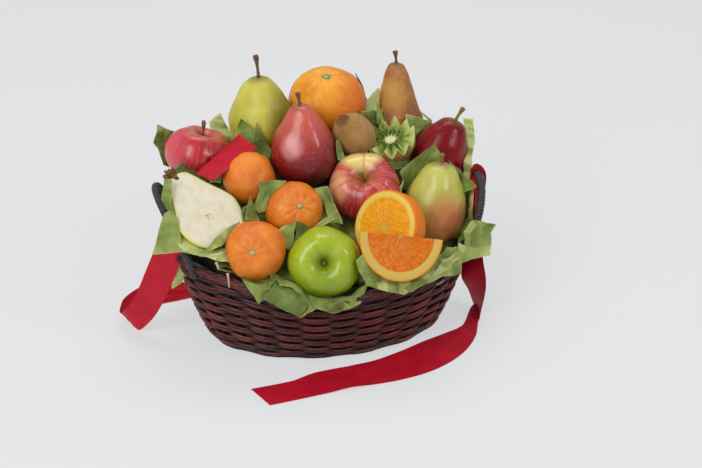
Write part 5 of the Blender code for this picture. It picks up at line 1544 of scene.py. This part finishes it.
LEAVES = {
    "tissue_front_left": [
        (0.55, [[(238, 262, -62), (258, 266, -62), (280, 262, -62)], [(240.5, 276.5, -74), (258, 280.2, -82), (277, 273, -74)],
                [(243, 280.5, -102), (259, 284, -106), (275, 281, -108)],
                [(250.5, 292, -108), (261, 291, -111), (270, 290, -112)], [(258.5, 304.2, -110), (261.5, 301.5, -113), (264.5, 300, -112)]]),
    ],
    "tissue_front_mid": [
        (0.30, [[(268, 272, -88), (290, 280, -90), (312, 288, -90)], [(273.6, 284.2, -112), (292, 289, -116), (310.6, 298.2, -118)],
                [(269, 292, -115), (287, 300, -119), (308.5, 305, -121)], [(264.5, 300, -115), (283, 309, -119), (300.3, 318.2, -120)]]),
        (0.85, [[(310.6, 299.4, -120), (316, 302, -119)], [(308, 309, -122), (319, 307.9, -120)], [(300.5, 318, -122), (307, 314, -121)]]),
        (0.60, [[(276, 280, -104), (288, 281, -106), (303, 289, -108)], [(279.7, 285.5, -118), (291, 288, -121), (304.5, 297, -123)]]),
    ],
    "tissue_front_right": [
        (0.45, [[(308, 292, -90), (330, 296.5, -96), (352, 292, -92), (370, 280, -84)],
                [(309.5, 296.8, -121), (330, 298.8, -122.5), (352, 296.5, -122.5), (368, 284, -117.5)],
                [(311, 301, -120), (330, 304, -121.5), (352, 301.5, -121.5), (367, 287.5, -117)],
                [(318, 308.5, -122), (333, 313.2, -124), (352, 308, -123), (361, 303, -120)]]),
        (0.28, [[(326, 304, -122), (343, 300, -121)], [(331, 312, -124.5), (352, 307.5, -123.5)]]),
    ],
    "tissue_corner_right": [
        (0.80, [[(370, 262, -98), (388, 266, -98), (410, 268, -98), (436, 256, -90), (456, 246, -78)],
                [(366, 284, -119), (384, 283, -120), (405, 285, -120), (432, 272, -113), (461, 258, -94)],
                [(369, 286, -122), (387, 291.5, -124), (404, 295.4, -124), (442, 276.6, -113), (462, 274.3, -98)]]),
        (0.62, [[(354.7, 260.4, -112), (361.6, 254.6, -108)], [(359, 271, -117), (376, 267, -112)], [(367.9, 285.6, -119), (389.7, 279.9, -116)]]),
        (0.95, [[(429.9, 278.7, -118), (440.5, 263.5, -110)], [(447, 270, -112), (459.9, 257.6, -100)]]),
        (0.35, [[(404, 288, -123), (418, 281, -120)], [(412, 292, -124), (430, 279, -118)]]),
        (0.30, [[(438, 258, -90), (447, 246.6, -84), (457, 247.5, -80)], [(443, 262, -95), (452, 256, -91), (461, 253, -86)]]),
    ],
    "tissue_right": [
        (0.66, [[(472.3, 220.6, -64), (484, 222, -64), (496.5, 224.2, -60)], [(466, 232, -67), (480, 234, -69), (491, 234, -64)],
                [(464, 246, -73), (474, 249, -74), (491.5, 244.5, -68)]]),
        (0.86, [[(458, 243, -74), (474, 249, -75), (491.5, 244.5, -69)], [(459, 264.5, -80), (470, 259.2, -79), (489.6, 255.8, -72)]]),
        (0.80, [[(472.3, 220.8, -66), (476, 224, -72)], [(463.7, 231.7, -72), (469.5, 233, -77)], [(464.5, 243, -77), (470, 246, -79)]]),
        (0.50, [[(462, 218, -30), (473, 218, -40)], [(460, 232, -40), (470, 232, -50)], [(458, 250, -56), (468, 250, -62)]]),
    ],
    "tissue_blush_side": [
        (0.40, [[(448.6, 160.6, 6), (450, 168, 0)], [(462, 172, -4), (457, 182, -4)], [(477.3, 186.4, -36), (463.5, 193.8, -30)]]),
        (0.76, [[(456, 184, 2), (466, 186, -6), (473.2, 187, -30)], [(460, 205, -4), (468, 206, -20), (473.6, 207, -38)],
                [(457, 222, -16), (466, 223, -28), (472.6, 221, -42)], [(450, 242, -30), (458, 242, -40), (466, 240, -50)]]),
        (0.28, [[(399.8, 171.4, -4), (402.3, 178.5, -6), (404.5, 190, -6)], [(416, 158, 0), (420.5, 166, -3), (424, 178, -4)],
                [(432.5, 145.1, 5), (437.5, 149.5, 3), (443, 158, -1)]]),
        (0.85, [[(402.6, 180, -20), (403.4, 180.4, -20)], [(398.5, 189, -22), (402.4, 190, -22)], [(397, 196, -24), (402, 197, -24)]]),
    ],
    "tissue_back_corner": [
        (0.92, [[(463.5, 118.1, 66), (473.3, 118.6, 66)], [(465, 135, 46), (474.2, 140, 46)], [(464, 158, 24), (472.4, 158, 22)],
                [(462, 185, 6), (472.6, 184, 2)]]),
    ],
    "tissue_under_kiwi": [
        (0.30, [[(370.5, 147.9, 18), (371, 157, 8)], [(385, 158, 14), (386, 167, 4)], [(396, 160, 14), (397, 169, 4)], [(407, 161, 14), (405, 167, 6)]]),
        (0.22, [[(396, 138, 56), (414, 142, 58), (434, 142, 56)], [(394, 160, 36), (412, 166, 34), (430, 168, 34)], [(392, 186, 6), (410, 190, 4), (428, 188, 6)]]),
        (0.20, [[(352, 150, 40), (372, 152, 44)], [(356, 162, 22), (380, 164, 22)]]),
        (0.45, [[(336, 141, 14), (338, 140, 14)], [(337, 150, 10), (343, 150, 12)], [(338, 160, 6), (345, 160, 8)]]),
    ],
    "tissue_bosc_front": [
        (0.30, [[(408, 119, 64), (420, 120, 64), (431, 123, 64)], [(408, 134, 58), (421, 133, 59), (434, 130, 60)], [(410, 150, 50), (420, 150, 52), (432, 146, 52)]]),
        (0.50, [[(405, 113.5, 62), (418, 117, 62), (431.4, 121.5, 62)], [(407, 122, 58), (413, 128, 58), (424, 128, 60)],
                [(409, 134, 54), (415.3, 136.3, 54), (418, 134, 56)]]),
        (0.80, [[(421, 111.2, 72), (423, 112.5, 70)], [(426, 115, 70), (427, 119, 68)], [(432.5, 120.4, 66), (431, 124, 64)]]),
    ],
    "tissue_orange_side": [
        (1.00, [[(378, 87, 84), (379, 91, 84)], [(368.5, 98.5, 84), (379, 108, 82)], [(358, 113, 80), (372, 119, 76), ][:2], [(360, 124, 70), (384, 128, 66)]]),
        (0.25, [[(354.2, 72.7, 96), (355.2, 73.2, 96)], [(360, 86, 93), (362.6, 86, 92)], [(365.9, 99.7, 88), (369, 106, 84)]]),
        (0.22, [[(361, 111, 60), (373, 110, 60), (385, 112, 60)], [(362, 130, 56), (374, 130, 58), (386, 130, 60)], [(364, 152, 50), (375, 152, 56), (386, 152, 60)]]),
        (0.55, [[(376.3, 102, 64), (377.3, 102.2, 64)], [(376.6, 112, 60), (381.5, 111, 60)], [(376.3, 124, 56), (385, 123, 56)]]),
    ],
    "tissue_pear_front": [
        (0.40, [[(240.3, 118.4, 50), (241.5, 118.8, 50)], [(237, 126, 48), (249, 125.5, 48)], [(235, 133.3, 44), (255.5, 129.5, 46)], [(240, 147, 38), (258, 141, 40)]]),
        (0.30, [[(256.6, 123, 46), (257.6, 123.6, 46)], [(254, 134, 42), (263, 137, 42)], [(253, 146, 38), (270.6, 150.5, 38)], [(258, 156, 32), (269.5, 160, 32)]]),
    ],
    "tissue_pale_back": [
        (1.00, [[(219.2, 112.6, 82), (220.4, 112.9, 82)], [(213, 118, 80), (224, 121, 80)], [(209.1, 121.8, 78), (229, 130, 76)], [(212, 136, 70), (235, 140, 68)], [(216, 152, 62), (242, 153, 60)]]),
    ],
    "tissue_apple_back": [
        (0.60, [[(157.5, 125.3, 66), (165, 128, 68), (174, 131, 70)], [(154, 142.5, 64), (163, 143, 68), (173, 143, 70)],
                [(159.8, 151.7, 60), (165, 152, 62), (173, 153, 64)], [(163.8, 165.4, 54), (166, 166, 56), (172, 169, 58)]]),
    ],
    "tissue_left": [
        (0.30, [[(166, 176, -4), (176, 178, -2)], [(167, 200, -16), (179, 204, -14)], [(170, 230, -34), (186, 234, -32)]]),
        (0.40, [[(164.5, 178.4, -20), (172, 180, -22)], [(160.9, 199.9, -36), (171, 204, -38)], [(166.5, 209, -40), (176, 216, -44)]]),
        (0.70, [[(164.3, 213, -42), (170, 210, -44), (177, 217, -48)], [(158, 235, -46), (168, 234, -52), (181, 238, -58)],
                [(152.3, 254.4, -48), (168, 253.4, -54), (185.2, 251.4, -62)]]),
    ],
    "tissue_left_front": [
        (0.92, [[(168, 216, -38), (182, 227, -42), (203, 242, -44), (220, 244, -48), (234, 238, -48)],
                [(176, 243, -56), (188, 250.0, -66), (207, 254.2, -74), (221, 253, -76), (232, 250, -66)],
                [(184.4, 251.8, -63), (194, 254.8, -72), (207, 256.4, -79), (215, 261.0, -86), (229, 262.5, -82)]]),
        (0.22, [[(213, 254, -74), (224, 249, -66), (234, 252, -62)], [(217.5, 268.4, -84), (226, 266.5, -78), (236, 271.5, -72)]]),
        (0.85, [[(217.3, 267.8, -86), (226, 270, -82), (235, 271, -74)], [(217.6, 269.4, -86.5), (226, 271.6, -82.5), (236, 273.2, -75)]]),
        (0.70, [[(206.5, 249.4, -74), (208.5, 251.5, -76)], [(214.3, 237.8, -66), (220, 246.0, -69)], [(227.2, 227.3, -54), (229, 237.5, -60)], [(240, 221.0, -46), (240, 226.5, -50)]]),
    ],
    "tissue_mandarin_gap": [
        (0.62, [[(258.5, 181.5, -22), (272, 181, -20), (287, 180.2, -18)], [(260, 190, -26), (268, 191, -26), (278, 189, -26)],
                [(256, 201, -30), (263, 203, -30), (270.6, 196, -30)], [(253.3, 206, -32), (259, 213, -34), (265, 211, -34)]]),
        (0.50, [[(249.6, 195.0, -34), (250.6, 195.6, -34)], [(247, 208, -38), (254.5, 208, -38)], [(245.3, 220, -42), (259.5, 220, -42)]]),
        (0.20, [[(243, 208, -30), (248, 205, -32)], [(242.5, 216, -36), (250, 217, -38)], [(243, 224, -42), (252, 224, -44)]]),
    ],
    "tissue_curl": [
        (0.35, [[(314.2, 188.4, -22), (321, 187, -22), (327.4, 186.1, -22)], [(318, 194, -28), (325, 193, -28), (330, 196, -28)],
                [(325, 208, -36), (330, 206, -36), (336, 208, -36)], [(330, 224, -44), (336, 222, -44), (343, 224, -44)]]),
        (0.55, [[(308.4, 231.4, -56), (310, 234, -60)], [(320, 221.5, -48), (323, 225.5, -52)], [(332, 214.5, -40), (335, 219, -44)]]),
    ],
    "tissue_apple_gap": [
        (0.75, [[(294.4, 222.6, -58), (295.6, 223.2, -58)], [(284, 226, -60), (294, 233, -62)], [(278.6, 229.7, -62), (292.5, 243, -66)], [(281, 241, -70), (288, 250, -74)]]),
        (0.35, [[(295.8, 220.6, -56), (304, 223, -54)], [(297, 232, -60), (310.7, 228.6, -56)], [(293.5, 244, -66), (303, 239, -64)]]),
    ],
    "tissue_fold_back": [
        (0.12, [[(171.8, 172.3, 12), (176, 176, 4)], [(183.3, 160.9, 20), (186, 172, 10)], [(194, 164.5, 18), (196, 176, 8)], [(205, 175, 12), (206, 182, 4)]]),
        (0.25, [[(206, 176, 10), (222.3, 173.0, 12)], [(210, 183, 0), (221.6, 183, 2)]]),
    ],
    "tissue_scrap_left": [
        (0.88, [[(179.5, 261.5, -22), (185, 264, -24)], [(176.5, 272, -20), (186, 276, -22)], [(172.2, 284.0, -18), (181, 283, -20)], [(171.6, 287.6, -16), (174.5, 287.8, -18)]]),
    ],
}

BACK_FLAPS = {
    "tissue_back_left": ((-70, 104, 132), (-86, 134, 138), (-84, 130, 78), (36, 18, 0), 0.55, 4),
    "tissue_back_mid": ((18, 126, 136), (20, 150, 138), (18, 141, 76), (40, 0, 0), 0.50, 4),
    "tissue_back_right": ((104, 104, 130), (116, 126, 134), (112, 112, 80), (30, -18, 0), 0.55, 4),
}


def back_leaf(shell, name, seed):
    root, mid, tip, half, share, bulge = BACK_FLAPS[name]
    p0, p1, p2, h = (np.array(p, float) for p in (root, mid, tip, half))
    rng = np.random.default_rng(seed)
    rows = []
    for i, u in enumerate((0, 0.3, 0.55, 0.8, 1.0)):
        c = p0 * (1 - u) ** 2 + p1 * 2 * u * (1 - u) + p2 * u * u
        width = 1 + (share - 1) * u
        row = []
        for v in (-1, -0.5, 0.05, 0.5, 1):
            drop = (rng.uniform(-7, 3) if u == 1.0 else 0.0) - (6.0 * abs(v) if u == 1.0 else 0)
            p = c + h * width * v + np.array([0, bulge * (1 - v * v) + (1.6 if abs(v) == 0.5 else 0), -drop])
            row.append(tuple(p))
        rows.append(row)
    leaf(shell, rows, 0.5, 0.9, 1.4, seed, world=True)


def tissue_leaves():
    for k, (name, leaves) in enumerate(LEAVES.items()):
        if not leaves:
            continue
        shell = Shell()
        # each sheet: its painted light level (0 shaded, 1 lit) and its net of points
        for i, (tone, rows) in enumerate(leaves):
            leaf(shell, rows, tone, 0.55, 1.0, 100 * k + 7 * i)
        obj = shell.build(name + "_leaf", TISSUE, sharp=28)
        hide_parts(name)
        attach(obj, "root")
    for k, name in enumerate(BACK_FLAPS):
        shell = Shell()
        back_leaf(shell, name, 900 + k)
        obj = shell.build(name + "_leaf", TISSUE, sharp=28)
        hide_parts(name)
        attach(obj, "root")


def mound_height(x, y):
    marks = [(-125, 95), (-110, 97), (-90, 101), (-60, 113), (-30, 127), (0, 142), (30, 157), (60, 172), (90, 177), (140, 177)]
    z = np.interp(y, [m[0] for m in marks], [m[1] for m in marks])
    z = z - 4 - 0.08 * x
    z = z + 13 * np.exp(-(((x - 52) / 30) ** 2 + ((y + 82) / 24) ** 2))
    z = z + 8 * np.exp(-(((x + 125) / 30) ** 2 + ((y + 36) / 26) ** 2))
    return z


def tissue_bed():
    shell = Shell()
    n = 300
    t = np.arange(n) / n * TAU
    rings = []
    a, b = BASE_A - 0.010, BASE_B - 0.010
    for k in (0.25, 0.5, 0.75, 1.0):
        rings.append(np.stack([a * k * np.cos(t), b * k * np.sin(t), np.full(n, 0.0088)], -1))
    for z in np.linspace(0.014, 0.088, 16):
        a, b = wall_axes(np.array(z))
        rings.append(np.stack([(a - 0.0096) * np.cos(t), (b - 0.0096) * np.sin(t), np.full(n, z)], -1))
    rings.append(np.stack([(RIM_A - 0.0125) * np.cos(t), (RIM_B - 0.0125) * np.sin(t), np.full(n, 0.0950)], -1))
    step = np.clip((np.sin(t) - 0.50) / 0.30, 0, 1)
    k = 0.93 + 0.19 * step * step * (3 - 2 * step)
    for q in np.concatenate([[1.0, 0.985, 0.965], np.linspace(0.94, 0.02, 88)]):
        x, y = (RIM_A - 0.0045) * k * q * np.cos(t), (RIM_B - 0.0045) * k * q * np.sin(t)
        level = mound_height(x / MM, y / MM) * MM
        z = 0.0972 + (level - 0.0972) * (1 - q ** 8) ** 0.6
        rings.append(np.stack([x, y, np.maximum(z, 0.0972)], -1))
    rings = np.array(rings)
    flat = rings.reshape(-1, 3)
    under = np.hypot((flat[:, 0] + 0.0165) / 1.3, flat[:, 1] + 0.104)
    flat[:, 2] -= 0.017 * np.clip((0.026 - under) / 0.012, 0, 1) * (flat[:, 2] > 0.096)
    corner = np.hypot(flat[:, 0] + 0.128, flat[:, 1] + 0.070)
    flat[:, 2] -= 0.009 * np.clip((0.040 - corner) / 0.02, 0, 1) * (flat[:, 2] > 0.096)
    rise = creases(flat, 0.0030, 0.022, 41) + creases(flat, 0.0012, 0.009, 42) + 0.002 * fbm(flat, 0.012, 3, 43)
    out = unit(flat * np.array([1, 1, 0.3]))
    upper = np.clip((flat[:, 2] - 0.093) / 0.012, 0, 1)
    flat = flat + np.array([0, 0, 1.0]) * (upper * (rise - 0.0012))[:, None] \
        + out * ((1 - upper) * -np.abs(creases(flat, 0.0012, 0.012, 44)))[:, None]
    rows = len(rings)
    verts = np.concatenate([[[0, 0, 0.0088]], flat, [[0, 0, float(flat[-n:, 2].mean())]]])
    faces = grid_faces(rows, n, True, 1)
    faces += [(0, 1 + (j + 1) % n, 1 + j) for j in range(n)]
    last, a0 = len(verts) - 1, 1 + (rows - 1) * n
    faces += [(last, a0 + j, a0 + (j + 1) % n) for j in range(n)]
    # painted light and shade: lightness from noise and from the crease facets
    tone = np.clip(0.30 + 0.30 * fbm(verts, 0.020, 2, 47) + 0.35 * np.concatenate([[0], creases(rings.reshape(-1, 3), 0.5, 0.018, 48), [0]]), 0, 1)
    round_rim = np.hypot(verts[:, 0] / (RIM_A - 0.0045), verts[:, 1] / (RIM_B - 0.0045))
    # deep: painted shade below the rim, near the front rim and in the front left corner
    deep = np.clip((0.096 - verts[:, 2]) / 0.003, 0, 1) + np.clip((round_rim - 0.84) / 0.06, 0, 1) * (verts[:, 1] < 0.03)
    corner = np.hypot(verts[:, 0] + 0.126, verts[:, 1] + 0.064)
    deep = np.clip(deep + np.clip((0.046 - corner) / 0.010, 0, 1), 0, 1)
    shell.add(verts, faces, 0, tone=tone, edge=0.0, deep=deep)
    obj = shell.build("tissue_bed_folds", TISSUE, sharp=24)
    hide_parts("tissue_bed")
    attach(obj, "root")


tissue_leaves()
tissue_bed()


# --------------------------------------------------------------------- straw
def straws():
    m = Finish("dry_straw", Roughness=0.6)
    along, ca, sa = m.value("along"), m.value("ca"), m.value("sa")
    g = m.noise(1.0, 3.0, 0.6, m.join(m.math("MULTIPLY", along, 40.0), m.math("MULTIPLY", ca, 4.0), m.math("MULTIPLY", sa, 4.0)))
    m.set(Base_Color=m.mix(m.span(g, 0.3, 0.7), s(226, 190, 158), s(176, 128, 104)), Normal=m.bump(g, 0.0004, 0.6))
    for name, start, end, width in (("straw_tuft", (215.6, 262.4, -88), (219.2, 269.6, -90), 3.4),
                                    ("straw_strip", (227.2, 273.0, -87), (229.6, 288.0, -93.5), 2.9),
                                    ("straw_bit", (437.0, 285.0, -94), (444.0, 280.2, -93), 2.2)):
        a, b = (np.array(at(*p)) for p in (start, end))
        shell = Shell()
        u = np.linspace(0, 1, 14)[:, None]
        side = unit(np.cross(b - a, np.array([0, 1.0, 0])))
        for k, off in enumerate((-0.5, 0.5)):
            path = a + (b - a) * u + side * width * MM * 0.25 * off + np.array([0, -0.0007, 0]) * np.sin(math.pi * u) \
                + side * 0.0006 * np.sin(3.2 * u + k * 2)
            tube(shell, path, width * MM * 0.27 * (1 - 0.35 * u.ravel() ** 6), 8, ref=(0.1, 1, 0.1), flat=0.5)
        obj = shell.build(name + "_fibre", m)
        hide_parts(name)
        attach(obj, "root")


straws()
